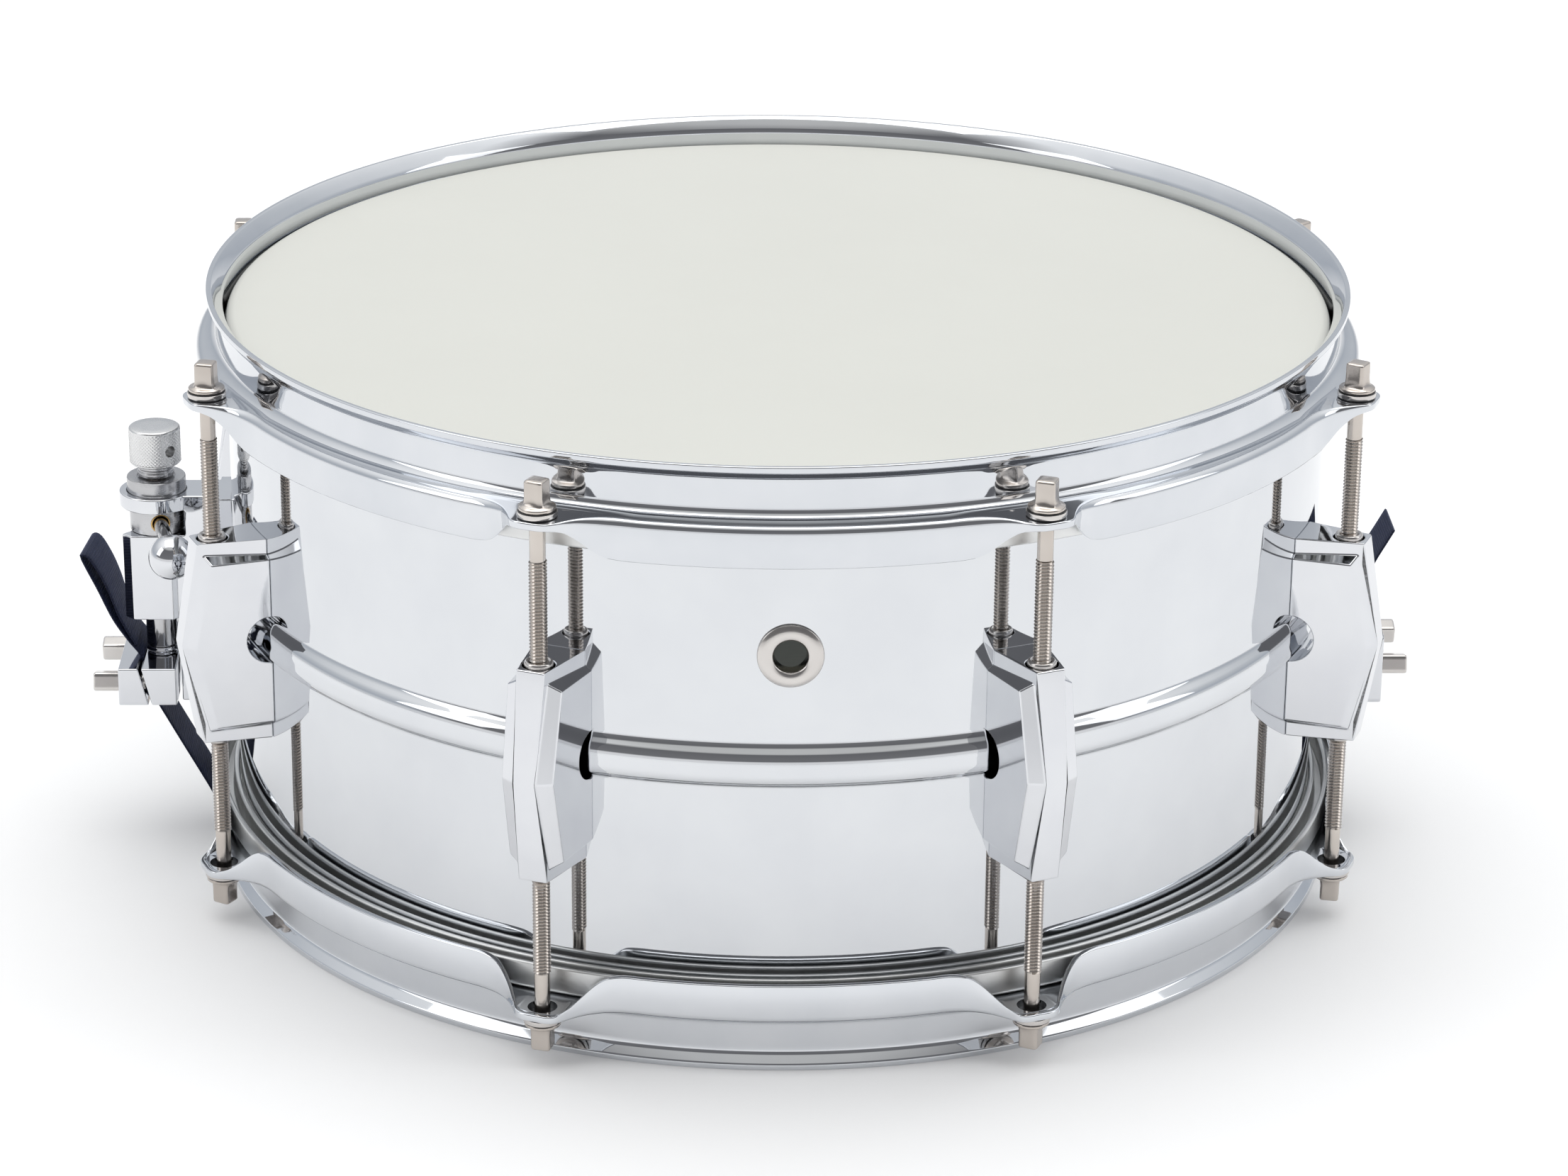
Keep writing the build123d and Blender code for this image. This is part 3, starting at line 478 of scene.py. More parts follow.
def pale_floor():
    material, tree, shader = nodes_of("pale_floor")
    place = add(tree, "ShaderNodeTexCoord").outputs["Object"]
    tinted(tree, shader, noise(tree, place, 1.5), (0.90, 0.90, 0.90), (0.915, 0.915, 0.915))
    shader.inputs["Roughness"].default_value = 0.9
    shader.inputs["Specular IOR Level"].default_value = 0.0
    shader.inputs["Emission Color"].default_value = (1.0, 1.0, 1.0, 1.0)
    shader.inputs["Emission Strength"].default_value = 0.10
    return material


COATED = coated_film()
CLEAR = clear_film()
NYLON = black_nylon()
RIBBON = ribbon_cloth()


def finish(obj, material, slot, body, *nodes):
    """Gives a piece its material and its body, and hides the CAD nodes it stands for; the slot argument is
    not used.
    """
    if material is not None:
        obj.data.materials.clear()
        obj.data.materials.append(material)
    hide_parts(*nodes)
    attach(obj, body)
    return obj


# ---- shell, vent, heads and flesh hoops -----------------------------------
def shell_outline():
    outer = [
        (175.2, 88.0, 0.3),
        (176.4, 87.6, 0.5),
        (177.5, 86.2, 0.6),
        (177.5, 7.4, 1.4),
        (180.1, 4.9, 1.6),
        (180.9, 2.4, 1.6),
        (180.9, -2.0, 1.2),
        (180.2, -4.2, 0.9),
        (177.5, -5.8, 0.9),
        (177.5, -86.2, 0.6),
        (176.4, -87.6, 0.5),
        (175.2, -88.0, 0.3),
    ]
    inner = [
        (174.6, -87.4, 0.3),
        (176.3, -84.0, 0.6),
        (176.3, -5.2, 0.9),
        (179.1, -3.4, 0.9),
        (179.7, -1.8, 0.9),
        (179.7, 2.2, 0.9),
        (178.9, 4.2, 0.9),
        (176.3, 6.6, 0.9),
        (176.3, 84.0, 0.6),
        (174.6, 87.4, 0.3),
    ]
    return rounded(outer + inner, 0.5, 5)


shell = lathe("shell_chrome", shell_outline(), 288, 40)
hole = lying(rod("vent_hole", VENT_BORE, SHELL - 10, SHELL + 10, 48, 0.0))
moved(hole, shift(z=VENT_HEIGHT))
moved(hole, about(-90))
cut(shell, [hole], 40)
moved(shell, LIFT)
finish(shell, CHROME, "chrome_shell", "drum", "shell")

vent = lathe(
    "air_vent_eyelet",
    rounded(
        [
            (4.75, -3.0, 0.2),
            (7.2, -3.0, 0.2),
            (7.2, -2.2, 0.2),
            (5.45, -1.9, 0.2),
            (5.45, 0.05, 0.1),
            (10.0, 0.05, 0.1),
            (9.9, 0.75, 0.4),
            (8.6, 1.6, 1.2),
            (6.9, 1.9, 1.2),
            (5.3, 1.35, 0.9),
            (4.75, 0.0, 0.9),
        ],
        0.3,
        5,
    ),
    96,
    50,
)
lying(vent)
moved(vent, shift(SHELL, 0, VENT_HEIGHT))
moved(vent, at_angle(0))
finish(vent, NICKEL_PALE, "nickel", "drum", "air_vent")


def film_outline():
    outer = [(0, 88.3), (60, 88.3), (120, 88.3), (168.0, 88.3), (175.3, 88.25, 1.5)]
    outer += [(177.0, 87.2, 0.9), (177.85, 84.5, 0.8), (177.85, 69.3)]
    inner = [(177.55, 69.3), (177.55, 84.4, 0.8), (176.5, 87.0, 0.9), (175.2, 88.0, 1.2), (0, 88.0)]
    return rounded(outer + inner, 0.0, 4, closed=False)


batter = moved(lathe("batter_film", film_outline(), 256, 40, closed=False), LIFT)
finish(batter, COATED, "coated_film", "drum", "batter_head")
resonant = moved(lathe("snare_side_film", film_outline(), 256, 40, closed=False), LIFT @ FLIP)
finish(resonant, CLEAR, "clear_film", "drum", "snare_side_head")

flesh_section = rounded(
    [
        (178.0, 77.6, 0.5),
        (183.0, 77.6, 1.0),
        (184.4, 76.2, 0.9),
        (184.4, 68.3, 0.8),
        (182.6, 68.3, 0.8),
        (182.6, 75.6, 0.6),
        (179.8, 75.6, 0.6),
        (179.8, 68.3, 0.8),
        (178.0, 68.3, 0.8),
    ],
    0.5,
    4,
)
for name, node, matrix in (
    ("batter_rim_channel", "batter_flesh_hoop", LIFT),
    ("snare_rim_channel", "snare_side_flesh_hoop", LIFT @ FLIP),
):
    channel = moved(lathe(name, flesh_section, 256, 40), matrix)
    finish(channel, ALUMINIUM, "aluminium", "drum", node)


# ---- hoops ----------------------------------------------------------------
def between(table, t):
    """Smooth value from a table of (place, value), eased between its rows."""
    if t <= table[0][0]:
        return table[0][1]
    for (a, va), (b, vb), before, after in zip(
        table, table[1:], [table[0]] + table[:-2], table[2:] + [table[-1]]
    ):
        if t <= b:
            u = (t - a) / (b - a)
            ma = (vb - before[1]) / max(b - before[0], 1e-6) * (b - a)
            mb = (after[1] - va) / max(after[0] - a, 1e-6) * (b - a)
            u2, u3 = u * u, u * u * u
            return (
                (2 * u3 - 3 * u2 + 1) * va
                + (u3 - 2 * u2 + u) * ma
                + (-2 * u3 + 3 * u2) * vb
                + (u3 - u2) * mb
            )
    return table[-1][1]


EAR_REACH = [
    (0, 199.2), (3.4, 199.15), (5.6, 198.4), (7.0, 197.0), (9.0, 194.4), (12.5, 191.0), (17, 188.6),
    (21, 187.6), (25, 187.2), (30, 187.2),
]
EAR_EDGE = [
    (0, 77.7), (5.6, 77.7), (7.0, 77.4), (9.0, 76.2), (12.0, 73.2), (15.0, 70.2), (18, 68.1),
    (21, 67.2), (25, 66.8), (30, 66.8),
]
EAR_BEND = [(0, 0.5), (6.0, 0.5), (9.0, 1.1), (14.0, 2.0), (20.0, 2.6), (30, 2.6)]
EAR_FLOOR = [(0, 80.0), (10, 80.0), (20, 79.9), (28, 79.7), (34, 79.7)]
SHEET = 2.0


def arc(center, radius, start, end, steps):
    return [
        (
            center[0] + radius * math.cos(math.radians(start + (end - start) * i / steps)),
            center[1] + radius * math.sin(math.radians(start + (end - start) * i / steps)),
        )
        for i in range(steps + 1)
    ]


def hoop_section(t):
    """Hoop's section at a distance t along the rim from the nearest rod."""
    reach = between(EAR_REACH, t)
    edge = between(EAR_EDGE, t)
    bend = between(EAR_BEND, t)
    floor = between(EAR_FLOOR, t)
    upper = rounded(
        [
            (178.1, 79.6, 0.3),
            (178.1, 92.2, 1.2),
            (180.6, 95.4, 1.2),
            (181.9, 96.8, 0.35),
            (183.4, 96.8, 0.45),
            (183.4, 94.9, 0.5),
            (180.7, 92.3, 1.0),
            (180.4, 90.8, 1.0),
            (180.4, 82.2, 1.6),
            (182.2, 80.5, 1.8),
            (184.2, floor + 0.05, 1.0),
        ],
        0.4,
        4,
        closed=False,
    )
    outer = arc((reach - bend, floor - bend), bend, 90, 0, 6)
    tip = [(reach, edge + 0.35), (reach - 0.1, edge + 0.1), (reach - 0.35, edge)]
    tip += [(reach - SHEET + 0.35, edge), (reach - SHEET, edge + 0.2)]
    under = floor - 2.3
    inside = max(bend - SHEET, 0.15)
    back = [
        (reach - SHEET, max(edge + 0.25, under - inside)),
        (reach - SHEET - 0.3 * inside, max(edge + 0.3, under - 0.3 * inside)),
        (reach - SHEET - inside, under),
        (184.8, under),
        (179.2, 77.65),
    ]
    return upper + outer + tip + back


def hoop_columns():
    """Angles round the hoop, close together at the ears, each with its distance to the rod."""
    steps = [0.0]
    while steps[-1] < EAR_SPAN:
        steps.append(steps[-1] + EAR_STEP)
    plain = 16
    last = steps[-1]
    half_pitch = HOOP_RADIUS * math.radians(22.5)
    steps += [last + (half_pitch - last) * (i + 1) / plain for i in range(plain)]
    side = [(t / HOOP_RADIUS, t) for t in steps]
    around = side[:-1] + [(math.radians(45) - a, t) for a, t in side[::-1][:-1]]
    columns = []
    for angle in LUG_ANGLES:
        start = math.radians(angle - 90)
        columns += [(start + a, t) for a, t in around]
    return columns


def make_hoop(name):
    verts = []
    columns = hoop_columns()
    rows = 0
    for angle, t in columns:
        section = hoop_section(t)
        rows = len(section)
        c, s = math.cos(angle), math.sin(angle)
        verts += [(r * c, r * s, z) for r, z in section]
    faces = []
    count = len(columns)
    for j in range(count):
        k = (j + 1) % count
        for i in range(rows):
            n = (i + 1) % rows
            faces.append([j * rows + i, j * rows + n, k * rows + n, k * rows + i])
    hoop = make(name, verts, faces, 48, merge=False)
    drills = []
    for angle in LUG_ANGLES:
        drill = rod(f"drill_{angle}", EAR_HOLE, 70, 90, 40, 0.0)
        moved(drill, shift(ROD_CIRCLE))
        moved(drill, about(angle - 90))
        drills.append(drill)
    return hoop, drills


def gate_cutter(name, turn):
    """Rounded window for a strap, through the bottom hoop's wall and shoulder."""
    half, low, high, corner = 28.0, 76.0, 92.4, 3.0
    outline = rounded([(half, low), (half, high), (-half, high), (-half, low)], corner, 5)
    near = [(171.0, y, z) for y, z in outline]
    far = [(190.5, y, z) for y, z in outline]
    cutter = loft(name, [near, far])
    return moved(cutter, Matrix.Rotation(turn, 4, "Z"))


top, drills = make_hoop("top_hoop_pressed")
cut(top, drills, 48)
moved(top, LIFT)
finish(top, CHROME_HOOP, "chrome_hoop", "drum", "top_hoop")

bottom, drills = make_hoop("bottom_hoop_pressed")
gates = [gate_cutter("gate_right", 0), gate_cutter("gate_left", math.pi)]
cut(bottom, drills + gates, 48)
moved(bottom, LIFT @ FLIP)
finish(bottom, CHROME_HOOP, "chrome_hoop", "drum", "bottom_hoop")


# ---- tension rods and their washers ---------------------------------------
PITCH = 1.06


def thread(name, crest, root, low, high, segments=20):
    """Helical ridge round a rod: one row of rings that climbs a pitch a turn."""
    profile = [root, root + (crest - root) * 0.55, crest, root + (crest - root) * 0.55]
    per_turn = len(profile)
    rings = int((high - low) / PITCH * per_turn)
    verts = []
    for i in range(rings):
        for j in range(segments):
            angle = 2 * math.pi * j / segments
            radius = profile[i % per_turn]
            z = low + (i / per_turn + j / segments) * PITCH
            verts.append((radius * math.cos(angle), radius * math.sin(angle), min(z, high)))
    faces = []
    for i in range(rings - 1):
        for j in range(segments):
            k = j + 1
            if k < segments:
                low_row, high_row = i * segments, (i + 1) * segments
                faces.append([low_row + j, low_row + k, high_row + k, high_row + j])
            elif i + per_turn + 1 < rings:
                a, b = (i + per_turn) * segments, (i + per_turn + 1) * segments
                faces.append([i * segments + j, a, b, (i + 1) * segments + j])
    return make(name, verts, faces, 180, merge=False)


def key_head(name, low, top, half):
    """Square key head that flares into its round collar."""
    count = 48
    angles = [2 * math.pi * (i + 0.5) / count for i in range(count)]
    circle = [(math.cos(angle), math.sin(angle)) for angle in angles]
    collar = 5.6
    sections = []
    for ease, rise in ((0.25, 0.0), (0.0, 0.25), (0.0, 0.95), (0.25, 1.2)):
        radius, z = collar - ease, low + rise
        sections.append([(radius * x, radius * y, z) for x, y in circle])
    square = squared(half, 0.9, count)
    for share, z in ((0.62, 1.35), (0.36, 1.75), (0.17, 2.4), (0.06, 3.2), (0.0, 4.2)):
        sections.append(
            [
                ((4.9 * x) * share + sx * (1 - share), (4.9 * y) * share + sy * (1 - share), low + z)
                for (x, y), (sx, sy) in zip(circle, square)
            ]
        )
    for shrink, drop in ((1.0, 0.9), (0.985, 0.55), (0.93, 0.28), (0.80, 0.10), (0.55, 0.02), (0.25, 0.0)):
        sections.append([(x * shrink, y * shrink, top - drop) for x, y in square])
    return loft(name, sections, 50)


def tension_rod(name):
    pieces = [
        thread("t", 2.75, 2.32, THREAD_LOW, THREAD_TOP),
        rod("c", 2.36, THREAD_LOW, THREAD_TOP + 1.0, 24, 0.3),
        rod("s", 2.4, 66.1, 82.4, 28, 0.2),
        key_head("k", 82.2, 91.4, 3.0),
    ]
    return join(name, pieces, 50)


pattern = tension_rod("rod_pattern")
for number, angle in enumerate(LUG_ANGLES, start=1):
    for end, turn in (("top", Matrix.Identity(4)), ("bottom", FLIP)):
        spin = about(17 + 31 * number)
        mesh = pattern.data.copy()
        mesh.transform(at_angle(angle) @ shift(ROD_CIRCLE) @ turn @ spin)
        soften(mesh, 50)
        piece = placed(f"{end}_tension_rod_{number}", mesh)
        finish(piece, NICKEL, "nickel", f"{end}_rod_{number}", f"{end}_rod_{number}")
bpy.data.objects.remove(pattern)

ENDS = [
    at_angle(angle) @ turn @ shift(ROD_CIRCLE)
    for angle in LUG_ANGLES
    for turn in (Matrix.Identity(4), FLIP)
]
washer = copies("steel_washers", tube("washer", 6.0, 2.9, 80.4, 81.9, 48, 0.22), ENDS)
finish(washer, NICKEL_PALE, "nickel", "drum", "rod_washers")
low_seal = tube("low_seal", 5.7, 2.8, 80.0, 80.4, 40, 0.1)
high_seal = tube("high_seal", 5.7, 2.8, 81.9, 82.2, 40, 0.08)
seals = join("seals", [low_seal, high_seal])
seals = copies("nylon_washers", seals, ENDS)
finish(seals, NYLON, "black_nylon", "drum", "rod_nylon_washers")
nose = lathe(
    "nose",
    rounded(
        [(2.82, 20.9), (4.4, 20.9), (4.4, 34.2, 0.5), (4.0, 34.9, 0.4), (3.3, 34.9, 0.3), (2.82, 34.3, 0.3)],
        0.3,
    ),
    48,
)
nose = copies("swivel_nut_noses", nose, ENDS)
finish(nose, NICKEL_PALE, "nickel", "drum", "lug_swivel_nuts")


# ---- castings: the CAD shapes with their edges eased -----------------------
def eased(name, node, width, material, slot, body, segments=3, angle=24):
    """Copy of a CAD solid with soft edges and flat faces that stay flat."""
    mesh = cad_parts[node].data.copy()
    bm = bmesh.new()
    bm.from_mesh(mesh)
    bmesh.ops.remove_doubles(bm, verts=bm.verts, dist=2e-6)
    bmesh.ops.dissolve_limit(bm, angle_limit=math.radians(0.4), verts=bm.verts, edges=bm.edges)
    clean = bpy.data.meshes.new(name)
    bm.to_mesh(clean)
    bm.free()
    bpy.data.meshes.remove(mesh)
    soften(clean, 180)
    obj = placed(name, clean)
    bevel = obj.modifiers.new("ease", "BEVEL")
    bevel.width = width * MM
    bevel.segments = segments
    bevel.limit_method = "ANGLE"
    bevel.angle_limit = math.radians(angle)
    bevel.use_clamp_overlap = False
    bevel.miter_outer = "MITER_ARC"
    flat = obj.modifiers.new("flat", "WEIGHTED_NORMAL")
    flat.mode = "FACE_AREA"
    flat.weight = 50
    flat.keep_sharp = False
    bpy.context.view_layer.update()
    graph = bpy.context.evaluated_depsgraph_get()
    applied = bpy.data.meshes.new_from_object(obj.evaluated_get(graph))
    obj.modifiers.clear()
    obj.data = applied
    bpy.data.meshes.remove(clean)
    return finish(obj, material, slot, body, node)


lug = eased("lug_casing_1", "lug_1", 0.45, CHROME_CAST, "chrome_cast", "drum", 3, 20)
for number, angle in enumerate(LUG_ANGLES[1:], start=2):
    piece = placed(f"lug_casing_{number}", lug.data.copy())
    moved(piece, about(angle - LUG_ANGLES[0]))
    finish(piece, None, "chrome_cast", "drum", f"lug_{number}")

eased("throw_off_casting", "throw_off_base", 0.5, CHROME_CAST, "chrome_cast", "drum")
eased("clamp_carrier", "inner_jaw", 0.5, CHROME_CAST, "chrome_cast", "carriage")
eased("clamp_cap", "outer_jaw", 0.5, CHROME_CAST, "chrome_cast", "carriage")
eased("butt_casting", "butt_base", 0.5, CHROME_CAST, "chrome_cast", "drum")
eased("butt_cap", "butt_plate", 0.5, CHROME_CAST, "chrome_cast", "drum")
eased("snare_plates", "snare_end_plates", 0.2, BRASS_PLATE, "brass_plate", "drum")

for node, material in (
    ("adjuster_screw", NICKEL),
    ("lug_screws", NICKEL_PALE),
    ("lug_screw_washers", NICKEL_PALE),
    ("fitting_screws", NICKEL_PALE),
    ("fitting_washers", NICKEL_PALE),
    ("lug_nut_spacers", NYLON),
):
    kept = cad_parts[node].data
    kept.materials.clear()
    kept.materials.append(material)


# ---- throw-off column ------------------------------------------------------
AT_COLUMN = TO_LEFT @ shift(COLUMN)
TO_LEVER = AT_COLUMN @ about(LEVER_ANGLE)


def knurled(name, radius, low, high):
    """Diamond knurl between two plain bevels, with a flat top."""
    starts, fine = 46, 6
    count = starts * fine
    pitch = 2 * math.pi * radius / starts
    depth = 0.24

    def circle(r, z):
        turns = [2 * math.pi * i / count for i in range(count)]
        return [(r * math.cos(turn), r * math.sin(turn), z) for turn in turns]

    sections = [circle(5.9, low), circle(radius - 0.75, low), circle(radius - 0.3, low + 0.3)]
    start, end = low + 0.7, high - 0.75
    rows = int((end - start) / pitch * fine)
    for row in range(rows + 1):
        z = start + (end - start) * row / rows
        ease = min(1.0, (z - start) / 0.5, (end - z) / 0.5)
        section = []
        for i in range(count):
            one = (i / fine + z / pitch) % 1.0
            two = (i / fine - z / pitch) % 1.0
            ridge = min(abs(one - 0.5), abs(two - 0.5)) * 2
            r = radius - depth * (1 - ridge) * ease - 0.02 * (1 - ease)
            turn = 2 * math.pi * i / count
            section.append((r * math.cos(turn), r * math.sin(turn), z))
        sections.append(section)
    sections += [circle(radius - 0.12, high - 0.4), circle(radius - 0.45, high - 0.1)]
    sections += [circle(radius - 0.75, high)]
    sections += [circle(radius * 0.5, high), circle(0.5, high)]
    return loft(name, sections, 60)


knob = knurled("knob_head", 8.4, 31.8, 44.3)
drill = lying(rod("cross_hole", 1.9, 4.0, 13.0, 32, 0.0))
moved(drill, about(133.0) @ shift(z=37.4))
cut(knob, [drill], 60)
neck = lathe(
    "knob_neck",
    rounded(
        [
            (3.05, 27.6),
            (5.9, 27.6, 0.4),
            (5.9, 29.2, 0.2),
            (5.5, 29.5, 0.2),
            (5.5, 30.1, 0.2),
            (5.9, 30.4, 0.2),
            (5.9, 31.9),
            (3.05, 31.9),
        ],
        0.1,
    ),
    64,
)
neck.data.materials.append(SATIN)
knob.data.materials.clear()
knob.data.materials.append(KNURL)
knob = moved(join("tension_knob_head", [knob, neck], 60), AT_COLUMN)
finish(knob, None, "knurled_nickel", "knob", "tension_knob")

plug = lathe(
    "plug",
    rounded(
        [(3.1, 21.9), (9.6, 21.9), (9.6, 27.4, 0.6), (6.2, 27.4, 0.2), (6.1, 27.0, 0.2), (3.1, 27.0)],
        0.2,
    ),
    96,
)
plug.data.materials.append(SATIN)
shaft = lathe(
    "shaft",
    rounded([(3.1, -31.6), (5.0, -31.6, 0.3), (5.2, -31.2, 0.2), (5.2, 21.9), (3.1, 21.9)], 0.1),
    64,
)
shaft.data.materials.append(POLISHED)
finish(moved(join("plunger_column", [plug, shaft]), AT_COLUMN), None, "chrome_satin", "plunger", "plunger")

sleeve = tube("lever_collar", 9.0, 5.3, 9.2, 17.6, 96, 0.35)
seat = lying(rod("seat", BUSH_RADIUS, 6.0, 18.0, 48, 0.0))
moved(seat, about(LEVER_ANGLE) @ shift(z=LEVER_HEIGHT))
cut(sleeve, [seat])
finish(moved(sleeve, AT_COLUMN), SATIN, "chrome_satin", "lever", "lever_sleeve")

bush = lathe(
    "brass_bush",
    rounded([(2.42, 6.1), (3.15, 6.1), (3.18, 8.9, 0.3), (2.75, 9.0, 0.2), (2.42, 8.4, 0.4)], 0.1),
    48,
)
lying(bush)
finish(moved(bush, TO_LEVER @ shift(z=LEVER_HEIGHT)), BRASS, "brass", "lever", "lever_bush")

arm = lying(
    lathe(
        "lever_arm",
        rounded(
            [(0, 6.2), (2.4, 6.2), (2.4, 26.0, 3.0), (2.15, 29.5, 3.0), (2.3, 34.4), (0, 34.4)],
            0.3,
            4,
            closed=False,
        ),
        40,
        closed=False,
    )
)
finish(moved(arm, TO_LEVER @ shift(z=LEVER_HEIGHT)), POLISHED, "chrome_satin", "lever", "lever_rod")
ball = lathe("lever_knob", arc((0, 0), BALL_RADIUS, -90, 90, 48), 80, closed=False)
moved(ball, TO_LEVER @ shift(LEVER_LENGTH, 0, LEVER_HEIGHT))
finish(ball, CHROME_CAST, "chrome_cast", "lever", "lever_ball")


def clamp_key(name):
    """Square key head with a domed end, on its shank, along +Z from a face at 0."""
    square = squared(3.05, 0.8, 48)
    sections = [[(x, y, z) for x, y in square] for z in (0.0, 0.1, 7.6)]
    for shrink, drop in ((0.985, 0.6), (0.93, 0.3), (0.80, 0.12), (0.5, 0.03), (0.2, 0.0)):
        sections.append([(x * shrink, y * shrink, 8.6 - drop) for x, y in square])
    return join(name, [loft("head", sections, 50), rod("shank", 2.5, -12.9, 0.05, 28, 0.3)], 50)


for name, node, body, place, face, height in (
    ("carriage_clamp_keys", "jaw_screws", "carriage", TO_LEFT, 215.6, -39.6),
    ("butt_clamp_keys", "butt_clamp_screws", "drum", AT_RIGHT, 199.6, -34.0),
):
    key = lying(clamp_key("key"))
    keys = copies(
        name,
        key,
        [place @ shift(face, side, height) @ Matrix.Rotation(0.35 * side, 4, "X") for side in (14.2, -14.2)],
        50,
    )
    finish(keys, NICKEL_PALE, "nickel", body, node)


# ---- ribbons and snare wires -----------------------------------------------
WIDTH = 20.6
THICKNESS = 0.74
CLAMP_MOUTH = (205.2, -46.6)
HALFWAY = (197.0, -62.2)  # here the run's two pieces meet
WIRE_COUNT = 20
WIRE_GAP = 2.05
WIRE_DROP = 89.15


def smooth_path(points, step=0.8):
    """Points along a spline that passes through the given (radius, height) points."""
    path = [Vector(p) for p in points]
    result = []
    for i in range(len(path) - 1):
        a, b = path[i], path[i + 1]
        before = path[i - 1] if i else a * 2 - b
        after = path[i + 2] if i + 2 < len(path) else b * 2 - a
        count = max(2, int((b - a).length / step))
        for k in range(count):
            u = k / count
            u2, u3 = u * u, u * u * u
            square = 2 * before - 5 * a + 4 * b - after
            cube = 3 * a - before - 3 * b + after
            result.append(0.5 * (2 * a + (b - before) * u + square * u2 + cube * u3))
    result.append(path[-1])
    return result


def ribbon(name, points, place, lean=None):
    """Flat woven band along a path; lean shifts its two edges apart."""
    path = smooth_path(points)
    lengths = [0.0]
    for a, b in zip(path, path[1:]):
        lengths.append(lengths[-1] + (b - a).length)
    total = lengths[-1]
    across = [-1.0, -0.985, -0.95, -0.6, -0.2, 0.2, 0.6, 0.95, 0.985, 1.0]
    half = WIDTH / 2
    verts, faces, maps = [], [], []
    loop = []
    for side in (1, -1):
        for share in across[::side][1:-1] if side < 0 else across:
            loop.append((share, side))
    rows = len(loop)
    for i, spot in enumerate(path):
        ahead = path[min(i + 1, len(path) - 1)] - path[max(i - 1, 0)]
        ahead.normalize()
        normal = Vector((-ahead.y, ahead.x))
        u = lengths[i] / total
        twist = lean(u) if lean else (0.0, 0.0)
        for share, side in loop:
            edge = 1.0 - abs(share) ** 60
            thick = THICKNESS / 2 * (0.35 + 0.65 * edge)
            offset = (twist[0] * (1 - share) + twist[1] * (1 + share)) / 2
            radius = spot.x + normal.x * thick * side + offset
            height = spot.y + normal.y * thick * side
            verts.append((radius, share * half, height))
            maps.append((share * half * MM, lengths[i] * MM))
    for i in range(len(path) - 1):
        for j in range(rows):
            k = (j + 1) % rows
            faces.append([i * rows + j, i * rows + k, (i + 1) * rows + k, (i + 1) * rows + j])
    faces.append(list(range(rows))[::-1])
    faces.append([(len(path) - 1) * rows + j for j in range(rows)])
    obj = make(name, verts, faces, 60, merge=False)
    layer = obj.data.uv_layers.new(name="along")
    for corner in obj.data.loops:
        layer.data[corner.index].uv = maps[corner.vertex_index]
    moved(obj, place)
    obj.data.materials.append(RIBBON)
    return obj, total * MM


UNDER = [(188.4, -78.4), (185.2, -84.6), (179.0, -90.0), (171.0, -91.4), (160.0, -91.4), (149.0, -91.4)]
TAIL = [
    (205.4, -46.0),
    (207.1, -39.0),
    (208.8, -32.4),
    (212.6, -27.0),
    (217.2, -19.6),
    (221.8, -9.0),
    (226.5, 1.4),
    (226.4, 3.0),
    (224.2, 1.9),
    (220.8, -4.0),
    (218.1, -10.5),
    (215.7, -17.8),
    (212.8, -24.2),
    (210.4, -28.6),
]
BUTT = [
    (202.4, 11.3), (200.2, 7.2), (196.4, 0.0), (192.8, -9.0), (190.0, -21.0), (190.0, -34.0),
    (190.0, -47.0), (188.6, -66.0),
]

loop_piece, length = ribbon(
    "strap_loop", TAIL, TO_LEFT, lean=lambda u: (-1.8 * math.sin(math.pi * u), 0.3 * math.sin(math.pi * u))
)
finish(loop_piece, None, "ribbon", "carriage", "throw_off_strap_tail")

for name, points, bodies, ends in (
    ("strap_run", [HALFWAY] + UNDER, ("drum", "plunger"), ((188.4, -77.0), HALFWAY)),
    ("strap_run_top", [CLAMP_MOUTH, HALFWAY], ("plunger", "carriage"), (HALFWAY, CLAMP_MOUTH)),
):
    run_piece, length = ribbon(name, points, TO_LEFT)
    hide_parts("throw_off_strap")
    start, end = [(-x * MM, 0, (MID + z) * MM) for x, z in ends]
    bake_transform(run_piece)

butt_piece, length = ribbon("butt_ribbon", BUTT + UNDER, AT_RIGHT)
finish(butt_piece, None, "ribbon", "drum", "butt_strap")


def coil(name):
    """One snare wire along X: a long coil with a straight stretch at each end."""
    wire, radius, pitch, half = 0.16, 0.62, 1.12, 139.0
    turns = int(2 * half / pitch)
    per_turn, sides = 6, 4
    centers = [(-150.0, 0.0, 0.0), (-half - 1.0, 0.0, 0.0)]
    for i in range(turns * per_turn + 1):
        angle = 2 * math.pi * i / per_turn
        along = -half + 2 * half * i / (turns * per_turn)
        centers.append((along, radius * math.cos(angle), radius * math.sin(angle)))
    centers += [(half + 1.0, 0.0, 0.0), (150.0, 0.0, 0.0)]
    verts, faces = [], []
    count = len(centers)
    for i, spot in enumerate(centers):
        here = Vector(spot)
        ahead = Vector(centers[min(i + 1, count - 1)]) - Vector(centers[max(i - 1, 0)])
        ahead.normalize()
        side = ahead.cross(Vector((1, 0, 0)))
        side = side.normalized() if side.length > 0.05 else Vector((0, 1, 0))
        up = ahead.cross(side).normalized()
        for k in range(sides):
            angle = 2 * math.pi * k / sides
            verts.append(tuple(here + (side * math.cos(angle) + up * math.sin(angle)) * wire))
    for i in range(count - 1):
        for k in range(sides):
            n = (k + 1) % sides
            faces.append([i * sides + k, i * sides + n, (i + 1) * sides + n, (i + 1) * sides + k])
    return make(name, verts, faces, 180, merge=False)


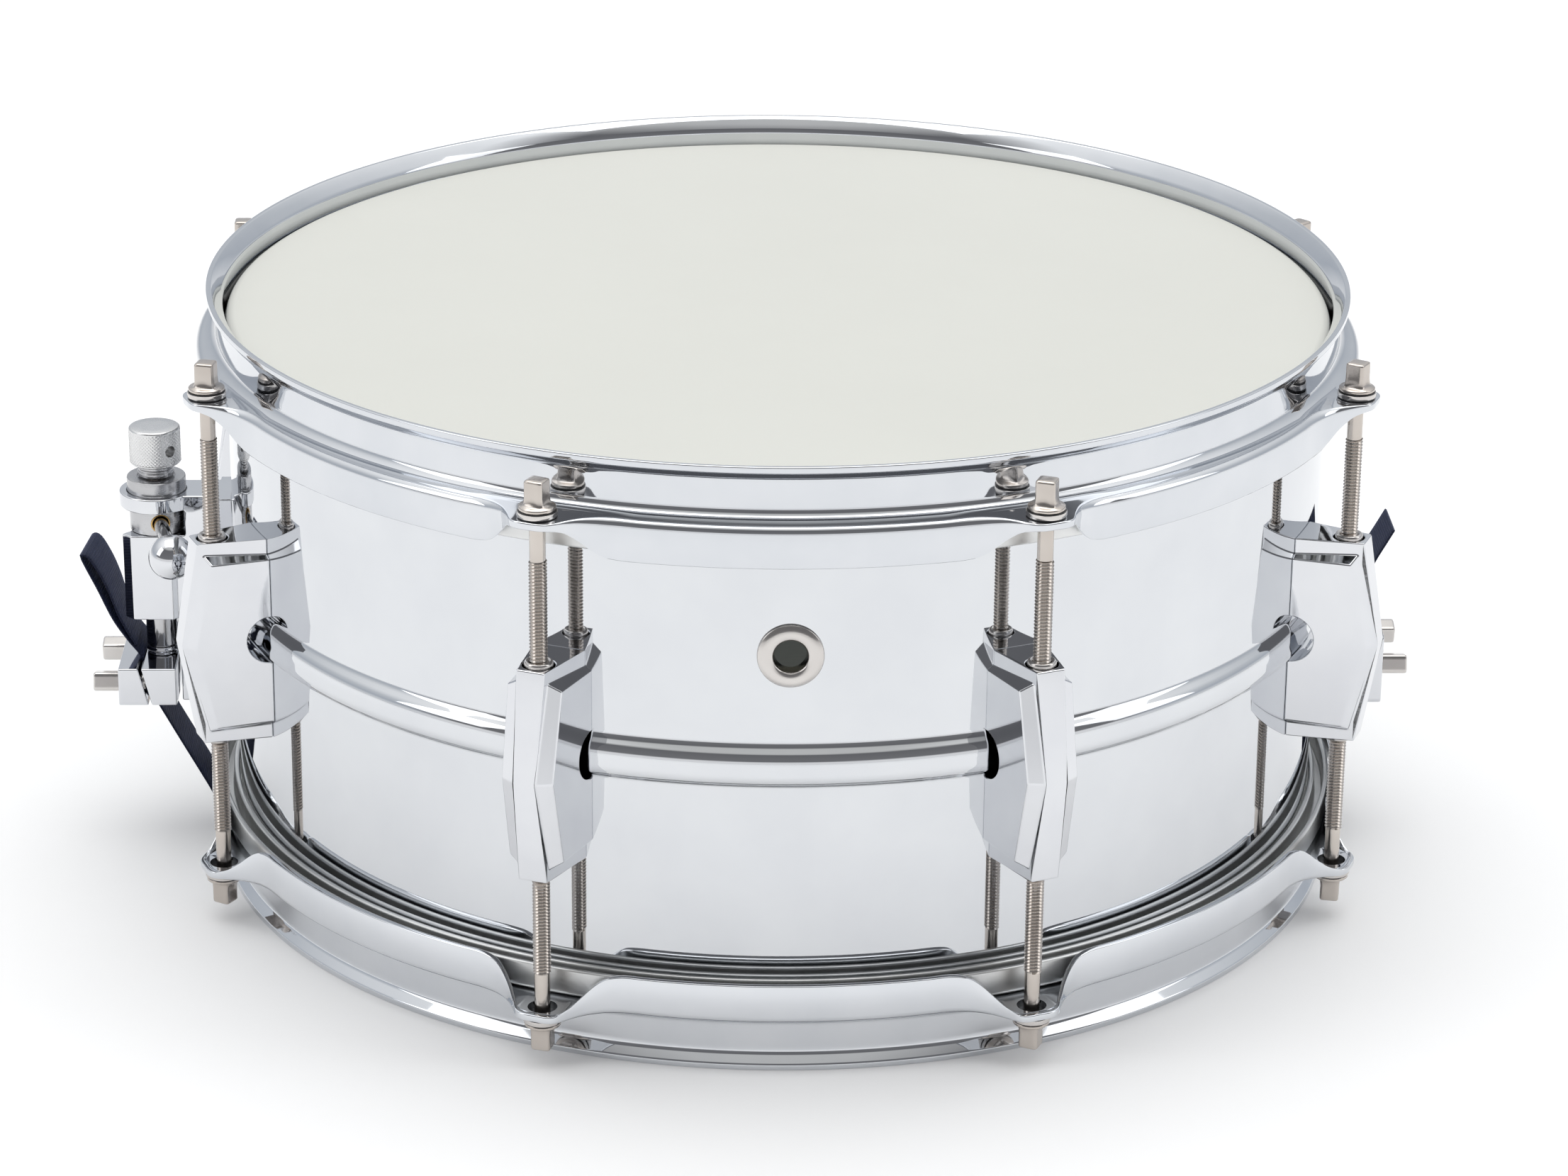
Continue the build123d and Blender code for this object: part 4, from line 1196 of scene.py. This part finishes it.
offsets = [(i - (WIRE_COUNT - 1) / 2) * WIRE_GAP for i in range(WIRE_COUNT)]
wires = copies("snare_coils", coil("coil"), [LIFT @ shift(0, y, -WIRE_DROP) for y in offsets], 180)
finish(wires, WIRE, "wire_steel", "drum", "snare_wires")


# ---- floor, light and camera -------------------------------------------------
bpy.ops.mesh.primitive_plane_add(size=14)
floor = bpy.context.object
floor.name = "floor"
floor.data.materials.append(pale_floor())

world = bpy.data.worlds.new("studio")
bpy.context.scene.world = world
world.use_nodes = True
tree = world.node_tree
sky = tree.nodes["Background"]
place = add(tree, "ShaderNodeTexCoord").outputs["Generated"]
split = add(tree, "ShaderNodeSeparateXYZ")
tree.links.new(place, split.inputs["Vector"])
surround = ramp(
    tree,
    split.outputs["Z"],
    [
        (0.0, (0.95, 0.97, 1.00)),
        (0.14, (0.62, 0.66, 0.72)),
        (0.40, (0.80, 0.83, 0.87)),
        (0.70, (1.25, 1.26, 1.27)),
        (1.0, (1.70, 1.70, 1.69)),
    ],
)
front = ramp(
    tree,
    split.outputs["Z"],
    [
        (0.0, (1.10, 1.10, 1.11)),
        (0.10, (1.05, 1.05, 1.06)),
        (0.16, (0.25, 0.25, 0.26)),
        (0.78, (0.21, 0.21, 0.22)),
        (0.86, (0.74, 0.74, 0.73)),
        (0.95, (0.80, 0.80, 0.79)),
        (0.97, (1.60, 1.60, 1.60)),
        (1.0, (1.70, 1.70, 1.70)),
    ],
)
facing = add(tree, "ShaderNodeMapRange")
tree.links.new(split.outputs["Y"], facing.inputs["Value"])
facing.inputs["From Min"].default_value = -0.12
facing.inputs["From Max"].default_value = -0.38
mixed = add(tree, "ShaderNodeMix", data_type="RGBA")
tree.links.new(facing.outputs["Result"], mixed.inputs["Factor"])
tree.links.new(surround.outputs["Color"], mixed.inputs["A"])
tree.links.new(front.outputs["Color"], mixed.inputs["B"])
tree.links.new(mixed.outputs["Result"], sky.inputs["Color"])
sky.inputs["Strength"].default_value = 0.83


def panel(name, spot, target, size, power):
    data = bpy.data.lights.new(name, "AREA")
    data.shape = "RECTANGLE"
    data.size, data.size_y = size
    data.energy = power
    light = placed(name, data)
    light.location = spot
    light.rotation_euler = (Vector(target) - Vector(spot)).to_track_quat("-Z", "Y").to_euler()


panel("overhead", (0.0, 0.2, 2.3), (0, 0, 0.1), (2.4, 1.8), 20)
panel("left_bank", (-2.2, -0.8, 1.5), (0, 0, 0.1), (1.0, 1.6), 6.7)
panel("right_bank", (2.3, -0.5, 1.4), (0, 0, 0.1), (1.0, 1.6), 5.6)

lens = bpy.data.cameras.new("camera")
lens.sensor_width = 36.0
lens.lens = 110.84
lens.clip_end = 50
camera = placed("camera", lens)
camera.location = (-0.0380, -1.4835, 0.6698)
looking = Vector((0.02553, 0.92983, -0.36711)).to_track_quat("-Z", "Y")
camera.rotation_mode = "QUATERNION"
camera.rotation_quaternion = looking @ Quaternion((0, 0, 1), math.radians(0.519))
bpy.context.scene.camera = camera
bpy.context.scene.view_settings.view_transform = "Standard"
bpy.context.scene.view_settings.look = "None"

bpy.context.view_layer.update()
